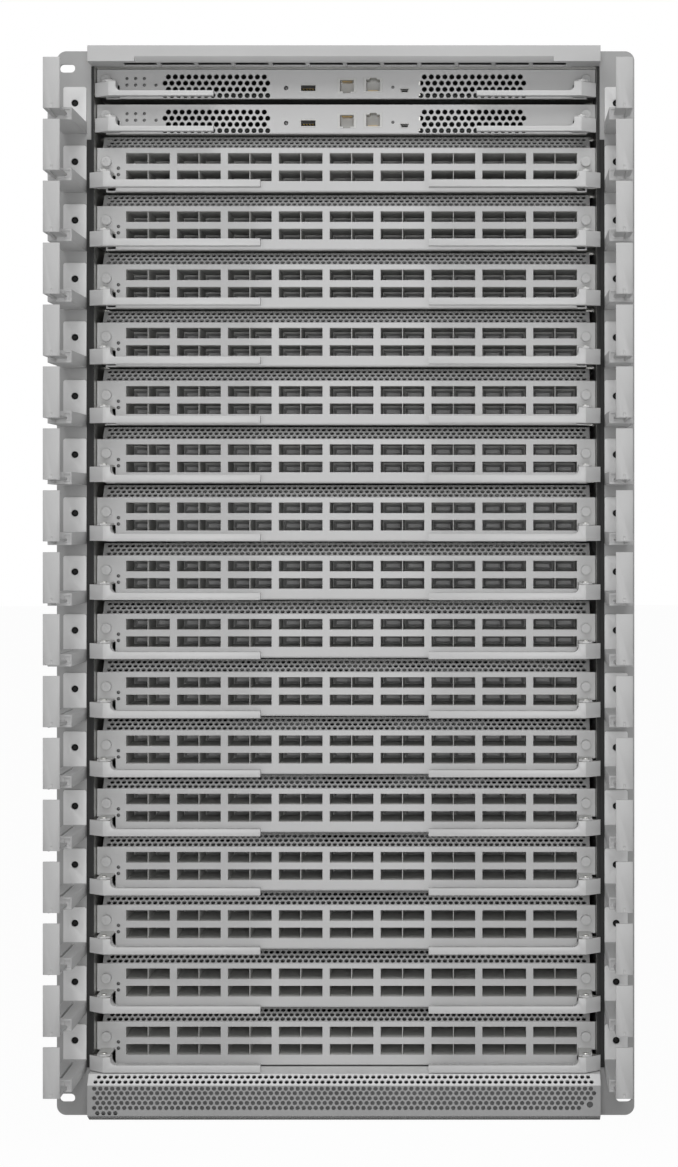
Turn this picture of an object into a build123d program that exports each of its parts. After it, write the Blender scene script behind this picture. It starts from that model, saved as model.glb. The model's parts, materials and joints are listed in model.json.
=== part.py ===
# Modular chassis switch, 20 rack units: a sheet metal chassis with two supervisor
# modules, sixteen line cards, their ejector levers, cable brackets and rear modules.
#
# Frame: millimetres, +Z up, the front faces -Y, the origin is below the middle of the
# whole object. Depths are given as distances ahead of the front face of the rack ears,
# and heights on a module are given down from the top edge of its face.

import os

from build123d import *

# Rack interface
RACK_WIDTH = 482.6
RACK_UNIT = 44.45
UNITS = 20
SLOT_FROM_EDGE = 8.8
SLOT_SPACING_Z = 860.4
SLOT_LENGTH = 12.9
SLOT_WIDTH = 7.0
EAR_THICKNESS = 3.0
EAR_CORNER = 8.0

# Chassis body
EAR_REACH = 20.3
BODY_DEPTH = 835.0
SKIN = 1.5
SIDE_CHANNEL = 11.2
CAGE_WALL = 2.3
CAGE_WALL_AHEAD = 3.0
CAGE_PLATE = 1.5
REAR_HANDLE_REACH = 26.0

# Modules, common to all
FACE_SETBACK = 10.8
FACE_CLEARANCE = 0.6
PANEL = 2.0
SHEET = 1.2
RUNNING_GAP = 0.3
TRAY_CLEARANCE = 7.8
TRAY_DEPTH = 480.0
GUIDE_THICKNESS = 1.4
GUIDE_WIDTH = 6.4
GUIDE_SETBACK = 60.0
SCREW_RADIUS = 4.3
SCREW_HEIGHT = 5.0

# Line cards
CARD_COUNT = 16
CARD_PITCH = 48.92
CARD_TOP = 809.7
CARD_FACE = 37.0
CARD_BEND = 1.8
CARD_WALL = 30.0
STRIP_CLEARANCE = 5.3
STRIP_RISE = 10.4
STRIP_SHEET = 1.2
BAY_COUNT = 9
BAY_MARGIN = 16.825
BAY_DIVIDER = 5.95
BAY_HEIGHT = 9.0
BAY_DEPTH = 52.0
BAY_CENTRE_X = 4.4
BAY_ROWS = (8.7, 23.3)
CAGE_BLOCK_WALL = 1.2
CARD_SCREW_DROP = 12.0
SCREW_FROM_EDGE = 8.0

# Supervisor modules
SUPERVISOR_COUNT = 2
SUPERVISOR_PITCH = 29.5
SUPERVISOR_TOP = 875.6
SUPERVISOR_FACE = 24.7
SUPERVISOR_BEND = 1.5
SUPERVISOR_WALL = 20.0
SUPERVISOR_SCREW_DROP = 9.0

# Sockets of a supervisor: places from the middle and down from the top of the face
SOCKET_DEPTH = 14.0
SOCKET_BLOCK_PLACE = (10.0, 13.2)
SOCKET_BLOCK_SIZE = (104.0, 17.0)
NETWORK_PLACES = ((0.2, 13.5), (22.8, 13.2))
NETWORK_SIZE = (12.0, 10.0)
LATCH_PLACES = ((0.2, 19.1), (22.8, 7.6))
LATCH_SIZE = (6.0, 1.6)
STORAGE_PLACE = (-32.0, 15.6)
STORAGE_SIZE = (12.5, 5.2)
SERVICE_PLACE = (48.9, 17.6)
SERVICE_SIZE = (7.4, 3.4)
SERVICE_SIDE_ANGLE = 70.0

# Circuit boards with their heat sinks and rear connectors
BOARD = 1.6
SINK_COUNT = 2
SINK_PITCH = 150.0
SINK_SIZE = 84.0
CONNECTOR_WIDTH = 300.0
CONNECTOR_DEPTH = 24.0
COMPONENT_HEIGHT = 18.0
SUPERVISOR_BOARD_RISE = 4.5
SUPERVISOR_SINK_X = 60.0
SUPERVISOR_SINK_SIZE = 70.0
SUPERVISOR_CONNECTOR_WIDTH = 120.0
SUPERVISOR_COMPONENT_HEIGHT = 10.0

# Ejector levers
PIVOT_AHEAD = 13.0
PIVOT_FROM_TIP = 12.5
PIN_RADIUS = 2.5
PIN_CLEARANCE = 0.06
LUG_THICKNESS = 1.5
LUG_RADIUS = 5.5
LUG_CORNER = 3.0
LUG_GAP = 0.2
POLYGON_SIDES = 8
BAR_BACK = 12.0
BAR_FRONT = 20.0
HUB_BACK = 6.5
TIP_THICKNESS = 1.5
TIP_AHEAD = 8.0
HUB_LENGTH = 18.5
HUB_FLAT = 6.0
LEVER_FILLET = 4.5
CARD_LEVER_LENGTH = 142.75
CARD_LEVER_INSET = 8.5
CARD_LEVER_DROPS = (23.5, 30.4, 36.2)
SUPERVISOR_LEVER_LENGTH = 99.7
SUPERVISOR_LEVER_INSET = 11.8
SUPERVISOR_LEVER_DROPS = (13.6, 21.2, 25.2)
SUPERVISOR_LEVER_SETBACK = 8.0

# Top visor
VISOR_OVERLAP = 2.0
VISOR_AHEAD = 27.6
VISOR_HEIGHT = 13.1
VISOR_WALL = 1.5
VISOR_CHAMFER = 4.2
VISOR_CHAMFER_MARGIN = 38.8
VISOR_SLOT_COUNT = 12
VISOR_SLOT_MARGIN = 26.4
VISOR_SLOT_DIVIDER = 3.3
VISOR_SLOT_DEPTH = 17.0

# Bottom air intake
INTAKE_HEIGHT = 38.6
INTAKE_FRONT_HEIGHT = 30.7
INTAKE_CHAMFER_HEIGHT = 5.6
INTAKE_CHAMFER_DEPTH = 11.0
INTAKE_SHELF = 10.0
GROUND_HOLE_FROM_EDGE = 8.8
GROUND_HOLE_Z = 15.0
GROUND_HOLE_RADIUS = 2.6

# Cable brackets
BRACKET_COUNT = 17
BRACKET_TOP = 845.4
BRACKET_FROM_EDGE = 15.3
BRACKET_WIDTH = 19.4
BRACKET_BASE = 2.0
BRACKET_BASE_TOP = 13.5
BRACKET_HOLE_RADIUS = 2.9
ARM_DROP = 15.7
ARM_HEIGHT = 10.0
ARM_REACH = 80.0
ARM_SLOT = 2.0
ARM_SLOT_DEPTH = 6.0
ARM_SLOT_MARGIN = 6.0
FINGER_SHIFT = 0.4
FINGER_WIDTH = 13.4
FINGER_THICKNESS = 2.0
FINGER_REACH = 118.0
FINGER_RISE = 18.0
FINGER_DROP = 22.5

# Rear modules
SUPPLY_COLUMNS = 4
SUPPLY_ROWS = 2
SUPPLY_HEIGHT = 86.0
SUPPLY_DEPTH = 300.0
SUPPLY_FACE = 20.0
SUPPLY_SIDE_X = 29.0
INLET_DROP = 19.0
INLET_SIZE = (28.0, 20.0)
SUPPLY_GRIP_RISE = 20.6
SUPPLY_GRIP_LENGTH = 34.0
SUPPLY_FAN_X = -18.7
SUPPLY_FAN_RADIUS = 31.0
REAR_GAP = 1.0
FAN_TRAY_COUNT = 3
FAN_TRAY_DEPTH = 120.0
FANS_PER_TRAY = 4
FAN_MARGIN = 9.4
FAN_PITCH = 156.5
FAN_SIDES = 16
FAN_STRUT = 12.0
FAN_GRIP_LENGTH = 83.0
GRIP_WIDTH = 10.0
GRIP_THICKNESS = 5.0

# Widths that follow from the rack width
SLOT_SPACING_X = RACK_WIDTH - 2 * SLOT_FROM_EDGE
BODY_WIDTH = RACK_WIDTH - 2 * EAR_REACH
CAGE_WIDTH = BODY_WIDTH - 2 * SIDE_CHANNEL
FACE_WIDTH = CAGE_WIDTH - 2 * FACE_CLEARANCE
TRAY_WIDTH = CAGE_WIDTH - 2 * TRAY_CLEARANCE
STRIP_WIDTH = CAGE_WIDTH - 2 * STRIP_CLEARANCE
BAY_PITCH = (FACE_WIDTH - 2 * BAY_MARGIN) / BAY_COUNT
BAY_WIDTH = BAY_PITCH - BAY_DIVIDER
SCREW_X = FACE_WIDTH / 2 - SCREW_FROM_EDGE
CARD_LEVER_TIP_X = BODY_WIDTH / 2 - CARD_LEVER_INSET
SUPERVISOR_LEVER_TIP_X = BODY_WIDTH / 2 - SUPERVISOR_LEVER_INSET
VISOR_WIDTH = CAGE_WIDTH + 2 * VISOR_OVERLAP
VISOR_SLOT_PITCH = (VISOR_WIDTH - 2 * VISOR_SLOT_MARGIN) / VISOR_SLOT_COUNT
GROUND_HOLE_X = VISOR_WIDTH / 2 - GROUND_HOLE_FROM_EDGE
BRACKET_X = RACK_WIDTH / 2 - BRACKET_FROM_EDGE
FINGER_X = BRACKET_X + FINGER_SHIFT

# Heights and depths that follow from the sizes above
HEIGHT = UNITS * RACK_UNIT
REAR_REACH = BODY_DEPTH + REAR_HANDLE_REACH
EAR_Y = (FINGER_REACH - REAR_REACH) / 2
TRAY_BACK = FACE_SETBACK + PANEL + TRAY_DEPTH
MIDWALL_FRONT = TRAY_BACK + REAR_GAP
MIDWALL_BACK = MIDWALL_FRONT + CAGE_PLATE
CAGE_FLOOR_TOP = CARD_TOP - CARD_PITCH * (CARD_COUNT - 1) - CARD_FACE - REAR_GAP
CAGE_ROOF = SUPERVISOR_TOP + REAR_GAP
VISOR_BOTTOM = HEIGHT - VISOR_HEIGHT
CAGE_SIDE_X = CAGE_WIDTH / 2
TRAY_SIDE_X = TRAY_WIDTH / 2
SHELF_Z = CAGE_FLOOR_TOP + SUPPLY_ROWS * (SUPPLY_HEIGHT + REAR_GAP)


def front_plane(distance):
    """Upright plane, drawn as seen from the front, this far ahead of the rack ears."""
    return Plane.XZ.offset(distance - EAR_Y)


def ahead(distance):
    """Y of a point this far ahead of the rack ears."""
    return EAR_Y - distance


# Chassis frame: flat sheets that butt against each other, and the guides on the cage walls

MODULE_TOPS = [SUPERVISOR_TOP - SUPERVISOR_PITCH * index for index in range(SUPERVISOR_COUNT)]
MODULE_TOPS += [CARD_TOP - CARD_PITCH * index for index in range(CARD_COUNT)]
MODULE_FACES = [SUPERVISOR_FACE] * SUPERVISOR_COUNT + [CARD_FACE] * CARD_COUNT
GUIDE_BOTTOMS = [top - face + SHEET for top, face in zip(MODULE_TOPS, MODULE_FACES)]
WALL_OUTSIDE_X = CAGE_SIDE_X + CAGE_WALL
SKIN_INSIDE_X = BODY_WIDTH / 2 - SKIN

# Rack ears with their slots
with BuildPart() as ears:
    with BuildSketch(front_plane(0)):
        with Locations((0, HEIGHT / 2)):
            RectangleRounded(RACK_WIDTH, HEIGHT, EAR_CORNER)
            Rectangle(2 * WALL_OUTSIDE_X, HEIGHT, mode=Mode.SUBTRACT)
            with GridLocations(SLOT_SPACING_X, SLOT_SPACING_Z, 2, 2):
                SlotOverall(SLOT_LENGTH, SLOT_WIDTH, mode=Mode.SUBTRACT)
    extrude(amount=-EAR_THICKNESS)

# Cage walls, with a lip that stands a little ahead of the ears
with BuildPart() as cage_walls:
    with BuildSketch(front_plane(0)):
        with Locations((0, HEIGHT / 2)):
            with GridLocations(CAGE_WIDTH + CAGE_WALL, 0, 2, 1):
                Rectangle(CAGE_WALL, HEIGHT - 2 * SKIN)
    extrude(amount=-BODY_DEPTH)
    lip_bottom = INTAKE_HEIGHT + REAR_GAP
    lip_top = VISOR_BOTTOM - RUNNING_GAP
    with BuildSketch(front_plane(0)):
        with Locations((0, (lip_bottom + lip_top) / 2)):
            with GridLocations(CAGE_WIDTH + CAGE_WALL, 0, 2, 1):
                Rectangle(CAGE_WALL, lip_top - lip_bottom)
    extrude(amount=CAGE_WALL_AHEAD)

# Outer side skins behind the ears
with BuildPart() as side_skins:
    with BuildSketch(front_plane(-EAR_THICKNESS)):
        with Locations((0, HEIGHT / 2)):
            with GridLocations(BODY_WIDTH - SKIN, 0, 2, 1):
                Rectangle(SKIN, HEIGHT)
    extrude(amount=-(BODY_DEPTH - EAR_THICKNESS))

# Base and cover, with a tongue between the ears
with BuildPart() as base_and_cover:
    for sheet_z in (0, HEIGHT - SKIN):
        with BuildSketch(Plane.XY.offset(sheet_z)):
            with Locations((0, ahead(-EAR_THICKNESS))):
                Rectangle(
                    2 * SKIN_INSIDE_X, BODY_DEPTH - EAR_THICKNESS, align=(Align.CENTER, Align.MIN)
                )
            with Locations((0, ahead(0))):
                Rectangle(2 * WALL_OUTSIDE_X, EAR_THICKNESS, align=(Align.CENTER, Align.MIN))
        extrude(amount=SKIN)

# Floor and roof of the card cage
with BuildPart() as cage_plates:
    with BuildSketch(front_plane(-FACE_SETBACK - PANEL)):
        for plate_z in (CAGE_FLOOR_TOP - CAGE_PLATE / 2, CAGE_ROOF + CAGE_PLATE / 2):
            with Locations((0, plate_z)):
                Rectangle(CAGE_WIDTH, CAGE_PLATE)
    extrude(amount=-(MIDWALL_FRONT - FACE_SETBACK - PANEL))

# Mid wall that the modules plug into
with BuildPart() as mid_wall:
    with BuildSketch(front_plane(-MIDWALL_FRONT)):
        with Locations((0, HEIGHT / 2)):
            Rectangle(CAGE_WIDTH, HEIGHT - 2 * SKIN)
    extrude(amount=-CAGE_PLATE)

# Shelf between the rear bays, and their floor
with BuildPart() as rear_shelves:
    with BuildSketch(front_plane(-MIDWALL_BACK)):
        with Locations((0, SHELF_Z + CAGE_PLATE / 2), (0, CAGE_FLOOR_TOP - CAGE_PLATE / 2)):
            Rectangle(CAGE_WIDTH, CAGE_PLATE)
    extrude(amount=-(BODY_DEPTH - MIDWALL_BACK))

# A pair of guides for each module
with BuildPart() as guides:
    with BuildSketch(front_plane(-GUIDE_SETBACK)):
        for guide_z in GUIDE_BOTTOMS:
            with Locations((0, guide_z + GUIDE_THICKNESS / 2)):
                with GridLocations(CAGE_WIDTH - GUIDE_WIDTH, 0, 2, 1):
                    Rectangle(GUIDE_WIDTH, GUIDE_THICKNESS)
    extrude(amount=-(MIDWALL_FRONT - GUIDE_SETBACK))

frame_groups = (
    ears, cage_walls, side_skins, base_and_cover, cage_plates, mid_wall, rear_shelves, guides
)
chassis_frame = Compound(
    label="chassis_frame",
    children=[sheet for group in frame_groups for sheet in group.part.solids()],
)


# Top visor: a folded cap with air slots in its underside

with BuildPart() as top_visor:
    with BuildSketch(Plane.YZ):
        with Locations((ahead(VISOR_AHEAD), VISOR_BOTTOM)):
            Rectangle(VISOR_AHEAD, VISOR_HEIGHT, align=(Align.MIN, Align.MIN))
    extrude(amount=VISOR_WIDTH / 2, both=True)

    # The underside is chamfered along the middle of the front
    with BuildSketch(Plane.YZ):
        with BuildLine():
            Polyline(
                (ahead(VISOR_AHEAD), VISOR_BOTTOM),
                (ahead(VISOR_AHEAD), VISOR_BOTTOM + VISOR_CHAMFER),
                (ahead(VISOR_AHEAD - VISOR_CHAMFER), VISOR_BOTTOM),
                close=True,
            )
        make_face()
    extrude(amount=VISOR_WIDTH / 2 - VISOR_CHAMFER_MARGIN, both=True, mode=Mode.SUBTRACT)

    # The hollow behind the front, open at the back
    hollow_front = VISOR_AHEAD - VISOR_WALL
    hollow_bottom = VISOR_BOTTOM + VISOR_WALL
    with BuildSketch(Plane.YZ):
        with BuildLine():
            Polyline(
                (ahead(0), hollow_bottom),
                (ahead(hollow_front - VISOR_CHAMFER), hollow_bottom),
                (ahead(hollow_front), hollow_bottom + VISOR_CHAMFER),
                (ahead(hollow_front), HEIGHT - VISOR_WALL),
                (ahead(0), HEIGHT - VISOR_WALL),
                close=True,
            )
        make_face()
    extrude(amount=VISOR_WIDTH / 2 - VISOR_WALL, both=True, mode=Mode.SUBTRACT)

    # Air slots in the underside
    slot_y = ahead((hollow_front - VISOR_CHAMFER) / 2)
    with BuildSketch(Plane.XY.offset(VISOR_BOTTOM)):
        with Locations((0, slot_y)):
            with GridLocations(VISOR_SLOT_PITCH, 0, VISOR_SLOT_COUNT, 1):
                Rectangle(VISOR_SLOT_PITCH - VISOR_SLOT_DIVIDER, VISOR_SLOT_DEPTH)
    extrude(amount=VISOR_WALL, mode=Mode.SUBTRACT)

top_visor.part.label = "top_visor"


# Bottom air intake: one folded sheet with a chamfered lower edge, an upright front, a slope of
# 45 degrees and a flat shelf that runs back under the lowest line card

with BuildPart() as air_intake:
    slope_back = VISOR_AHEAD - (INTAKE_HEIGHT - INTAKE_FRONT_HEIGHT)
    with BuildSketch(Plane.YZ):
        with BuildLine():
            Polyline(
                (ahead(0), 0),
                (ahead(VISOR_AHEAD - INTAKE_CHAMFER_DEPTH), 0),
                (ahead(VISOR_AHEAD), INTAKE_CHAMFER_HEIGHT),
                (ahead(VISOR_AHEAD), INTAKE_FRONT_HEIGHT),
                (ahead(slope_back), INTAKE_HEIGHT),
                (ahead(0), INTAKE_HEIGHT),
                close=True,
            )
        make_face()
    extrude(amount=VISOR_WIDTH / 2, both=True)
    with BuildSketch(Plane.YZ):
        with BuildLine():
            Polyline(
                (ahead(0), VISOR_WALL),
                (ahead(hollow_front - INTAKE_CHAMFER_DEPTH), VISOR_WALL),
                (ahead(hollow_front), INTAKE_CHAMFER_HEIGHT + VISOR_WALL / 2),
                (ahead(hollow_front), INTAKE_FRONT_HEIGHT - VISOR_WALL / 2),
                (ahead(slope_back - VISOR_WALL / 2), INTAKE_HEIGHT - VISOR_WALL),
                (ahead(0), INTAKE_HEIGHT - VISOR_WALL),
                close=True,
            )
        make_face()
    extrude(amount=VISOR_WIDTH / 2 - VISOR_WALL, both=True, mode=Mode.SUBTRACT)

    # The shelf goes on between the cage walls
    with BuildSketch(front_plane(-INTAKE_SHELF)):
        with Locations((0, INTAKE_HEIGHT - VISOR_WALL / 2)):
            Rectangle(FACE_WIDTH, VISOR_WALL)
    extrude(amount=INTAKE_SHELF)

    # Ground point
    with BuildSketch(front_plane(VISOR_AHEAD)):
        with Locations((GROUND_HOLE_X, GROUND_HOLE_Z)):
            Circle(GROUND_HOLE_RADIUS)
    extrude(amount=-VISOR_WALL, mode=Mode.SUBTRACT)

air_intake.part.label = "air_intake"


# Cable brackets: a base on the ear, an arm with a slot, and an upright finger

with BuildPart() as cable_bracket:
    base_bottom = BRACKET_TOP - ARM_DROP - ARM_HEIGHT / 2
    base_height = BRACKET_TOP + BRACKET_BASE_TOP - base_bottom
    with BuildSketch(front_plane(0)):
        with Locations((BRACKET_X, base_bottom + base_height / 2)):
            Rectangle(BRACKET_WIDTH, base_height)
        with Locations((BRACKET_X, BRACKET_TOP)):
            RegularPolygon(BRACKET_HOLE_RADIUS, POLYGON_SIDES, mode=Mode.SUBTRACT)
    extrude(amount=BRACKET_BASE)

    # Arm
    arm_top = BRACKET_TOP - ARM_DROP
    with BuildSketch(front_plane(0)):
        with Locations((BRACKET_X, arm_top - ARM_HEIGHT / 2)):
            Rectangle(BRACKET_WIDTH, ARM_HEIGHT)
    extrude(amount=ARM_REACH)
    arm_slot_length = ARM_REACH - BRACKET_BASE - 2 * ARM_SLOT_MARGIN
    with BuildSketch(Plane.XY.offset(arm_top)):
        with Locations((BRACKET_X, ahead((ARM_REACH + BRACKET_BASE) / 2))):
            Rectangle(ARM_SLOT, arm_slot_length)
    extrude(amount=-ARM_SLOT_DEPTH, mode=Mode.SUBTRACT)

    # Tongue and finger, one folded blade as seen from the side
    finger_bottom = BRACKET_TOP - FINGER_DROP
    with BuildSketch(Plane.YZ.offset(FINGER_X - FINGER_WIDTH / 2)):
        with BuildLine():
            Polyline(
                (ahead(ARM_REACH), finger_bottom),
                (ahead(FINGER_REACH), finger_bottom),
                (ahead(FINGER_REACH), BRACKET_TOP + FINGER_RISE),
                (ahead(FINGER_REACH - FINGER_THICKNESS), BRACKET_TOP + FINGER_RISE),
                (ahead(FINGER_REACH - FINGER_THICKNESS), finger_bottom + FINGER_THICKNESS),
                (ahead(ARM_REACH), finger_bottom + FINGER_THICKNESS),
                close=True,
            )
        make_face()
    extrude(amount=FINGER_WIDTH)

right_brackets = [
    Pos(0, 0, -CARD_PITCH * index) * cable_bracket.part for index in range(BRACKET_COUNT)
]
left_brackets = [mirror(bracket, about=Plane.YZ) for bracket in right_brackets]
cable_brackets = Compound(
    label="cable_brackets",
    children=[piece.solid() for piece in right_brackets + left_brackets],
)


# Ejector levers


def build_lever(label, length, tip_x, top, drops, setback):
    """Right-hand lever: a bar, a hub with a slanting tail, and a pin that turns in the lug."""
    hub_top, bar_top, bottom = [top - drop for drop in drops]
    free_x = tip_x - length
    pivot_x = tip_x - PIVOT_FROM_TIP
    hub_x = tip_x - HUB_LENGTH
    with BuildPart() as lever:
        with BuildSketch(Plane.XY.offset(bottom)):
            with BuildLine():
                Polyline(
                    (free_x, ahead(BAR_FRONT - setback)),
                    (hub_x + HUB_FLAT, ahead(BAR_FRONT - setback)),
                    (tip_x, ahead(TIP_AHEAD + TIP_THICKNESS - setback)),
                    (tip_x, ahead(TIP_AHEAD - setback)),
                    (pivot_x + LUG_RADIUS, ahead(HUB_BACK - setback)),
                    (hub_x, ahead(HUB_BACK - setback)),
                    (hub_x - LEVER_FILLET, ahead(BAR_BACK - setback)),
                    (free_x, ahead(BAR_BACK - setback)),
                    close=True,
                )
            make_face()
        extrude(amount=hub_top - bottom)

        # The front view: the bar is low, and rises to the hub in a curve
        with BuildSketch(front_plane(BAR_FRONT - setback)) as front_view:
            with BuildLine():
                Polyline(
                    (free_x, bottom),
                    (tip_x, bottom),
                    (tip_x, hub_top),
                    (hub_x, hub_top),
                    (hub_x, bar_top),
                    (free_x, bar_top),
                    close=True,
                )
            make_face()
            inner_corner = front_view.vertices().sort_by_distance((hub_x, bar_top, 0))[0]
            fillet(inner_corner, radius=LEVER_FILLET)
        extrude(amount=-(BAR_FRONT - HUB_BACK), mode=Mode.INTERSECT)

        pin_length = 2 * LUG_GAP + LUG_THICKNESS + SHEET / 2
        with Locations((pivot_x, ahead(PIVOT_AHEAD - setback), hub_top)):
            Cylinder(PIN_RADIUS, pin_length, align=(Align.CENTER, Align.CENTER, Align.MIN))
    lever.part.label = label
    return lever.part


def lug_outline(tip_x, top, hub_drop, setback):
    """Plan of the two lugs that stand out of a module's panel and carry the lever pins."""
    pivot_x = tip_x - PIVOT_FROM_TIP
    pivot_y = ahead(PIVOT_AHEAD - setback)
    lug_length = LUG_RADIUS + PIVOT_AHEAD - setback + FACE_SETBACK + PANEL
    with BuildSketch(Plane.XY.offset(top - hub_drop + LUG_GAP)) as outline:
        lug_middle = pivot_y - LUG_RADIUS + lug_length / 2
        with Locations((-pivot_x, lug_middle), (pivot_x, lug_middle)):
            Rectangle(2 * LUG_RADIUS, lug_length)
        chamfer(outline.vertices().group_by(Axis.Y)[0], length=LUG_CORNER)
        with Locations((-pivot_x, pivot_y), (pivot_x, pivot_y)):
            RegularPolygon(
                PIN_RADIUS + PIN_CLEARANCE, POLYGON_SIDES, major_radius=False, mode=Mode.SUBTRACT
            )
    return outline.sketch


def panel_outline(top, face, notch_top, tip_x):
    """Front panel with its lower corners cut away behind the lever hubs."""
    notch_width = FACE_WIDTH / 2 - (tip_x - HUB_LENGTH) + RUNNING_GAP
    notch_height = face - notch_top
    with BuildSketch(front_plane(-FACE_SETBACK)) as outline:
        with Locations((0, top - face / 2)):
            Rectangle(FACE_WIDTH, face)
        with Locations((0, top - face + notch_height / 2)):
            with GridLocations(FACE_WIDTH - notch_width, 0, 2, 1):
                Rectangle(notch_width, notch_height, mode=Mode.SUBTRACT)
    return outline.sketch


def tray_section(top, face, wall):
    """Section of the tray: floor, side walls and the rails that ride on the guides."""
    floor_z = top - face
    rail_z = floor_z + SHEET + GUIDE_THICKNESS + RUNNING_GAP
    rail_width = CAGE_SIDE_X - TRAY_SIDE_X - 2 * RUNNING_GAP
    with BuildSketch(front_plane(-FACE_SETBACK - PANEL)) as section:
        with Locations((0, floor_z + SHEET / 2)):
            Rectangle(TRAY_WIDTH, SHEET)
        with Locations((0, floor_z + wall / 2)):
            with GridLocations(TRAY_WIDTH - SHEET, 0, 2, 1):
                Rectangle(SHEET, wall)
        with Locations((0, rail_z + SHEET / 2)):
            with GridLocations(TRAY_WIDTH + rail_width, 0, 2, 1):
                Rectangle(rail_width, SHEET)
    return section.sketch


def screw_outline(top, drop):
    """Heads of the captive screws at the two ends of a panel."""
    with BuildSketch(front_plane(-FACE_SETBACK)) as outline:
        with Locations((0, top - drop)):
            with GridLocations(2 * SCREW_X, 0, 2, 1):
                RegularPolygon(SCREW_RADIUS, POLYGON_SIDES)
    return outline.sketch


# Line card, built once as the highest of the sixteen

with BuildPart() as line_card:
    card_notch = CARD_LEVER_DROPS[0] - LUG_GAP
    extrude(panel_outline(CARD_TOP, CARD_FACE, card_notch, CARD_LEVER_TIP_X), amount=-PANEL)
    extrude(tray_section(CARD_TOP, CARD_FACE, CARD_WALL), amount=-TRAY_DEPTH)
    bend_edge = line_card.edges().filter_by(Axis.X).group_by(Axis.Z)[0].sort_by(Axis.Y)[0]
    fillet(bend_edge, radius=CARD_BEND)

    # Block of port cages behind the panel, opened by the port bays
    block_width = (BAY_COUNT - 1) * BAY_PITCH + BAY_WIDTH + 2 * CAGE_BLOCK_WALL
    block_top = BAY_ROWS[0] - BAY_HEIGHT / 2 - CAGE_BLOCK_WALL
    block_bottom = BAY_ROWS[-1] + BAY_HEIGHT / 2 + CAGE_BLOCK_WALL
    with BuildSketch(front_plane(-FACE_SETBACK - PANEL)):
        with Locations((BAY_CENTRE_X, CARD_TOP - (block_top + block_bottom) / 2)):
            Rectangle(block_width, block_bottom - block_top)
    extrude(amount=-(BAY_DEPTH + CAGE_BLOCK_WALL - PANEL))
    with BuildSketch(front_plane(-FACE_SETBACK)):
        for row in BAY_ROWS:
            with Locations((BAY_CENTRE_X, CARD_TOP - row)):
                with GridLocations(BAY_PITCH, 0, BAY_COUNT, 1):
                    Rectangle(BAY_WIDTH, BAY_HEIGHT)
    extrude(amount=-BAY_DEPTH, mode=Mode.SUBTRACT)

    # Air strip that slopes up and back from the top of the panel
    with BuildSketch(Plane.YZ):
        with BuildLine():
            Polyline(
                (ahead(-FACE_SETBACK), CARD_TOP),
                (ahead(-FACE_SETBACK - STRIP_RISE), CARD_TOP + STRIP_RISE),
                (ahead(-FACE_SETBACK - STRIP_RISE - STRIP_SHEET), CARD_TOP + STRIP_RISE),
                (ahead(-FACE_SETBACK - PANEL), CARD_TOP - PANEL + STRIP_SHEET),
                (ahead(-FACE_SETBACK - PANEL), CARD_TOP - PANEL),
                (ahead(-FACE_SETBACK), CARD_TOP - PANEL),
                close=True,
            )
        make_face()
    extrude(amount=STRIP_WIDTH / 2, both=True)

    # Circuit board on the side walls, with heat sinks and the rear connector
    board_front = FACE_SETBACK + BAY_DEPTH
    board_length = TRAY_BACK - board_front - CAGE_BLOCK_WALL
    board_z = CARD_TOP - block_bottom
    board_y = ahead(-TRAY_BACK + board_length / 2)
    with BuildSketch(Plane.XY.offset(board_z)):
        with Locations((0, board_y)):
            Rectangle(TRAY_WIDTH - SHEET, board_length)
    extrude(amount=BOARD)
    with BuildSketch(Plane.XY.offset(board_z + BOARD)):
        with Locations((0, board_y)):
            with GridLocations(SINK_PITCH, 0, SINK_COUNT, 1):
                Rectangle(SINK_SIZE, SINK_SIZE)
        with Locations((0, ahead(-TRAY_BACK + CONNECTOR_DEPTH / 2))):
            Rectangle(CONNECTOR_WIDTH, CONNECTOR_DEPTH)
    extrude(amount=COMPONENT_HEIGHT)

    card_lugs = lug_outline(CARD_LEVER_TIP_X, CARD_TOP, CARD_LEVER_DROPS[0], 0)
    extrude(card_lugs, amount=LUG_THICKNESS)
    extrude(screw_outline(CARD_TOP, CARD_SCREW_DROP), amount=SCREW_HEIGHT)


# Supervisor module, built once as the upper of the two

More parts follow.
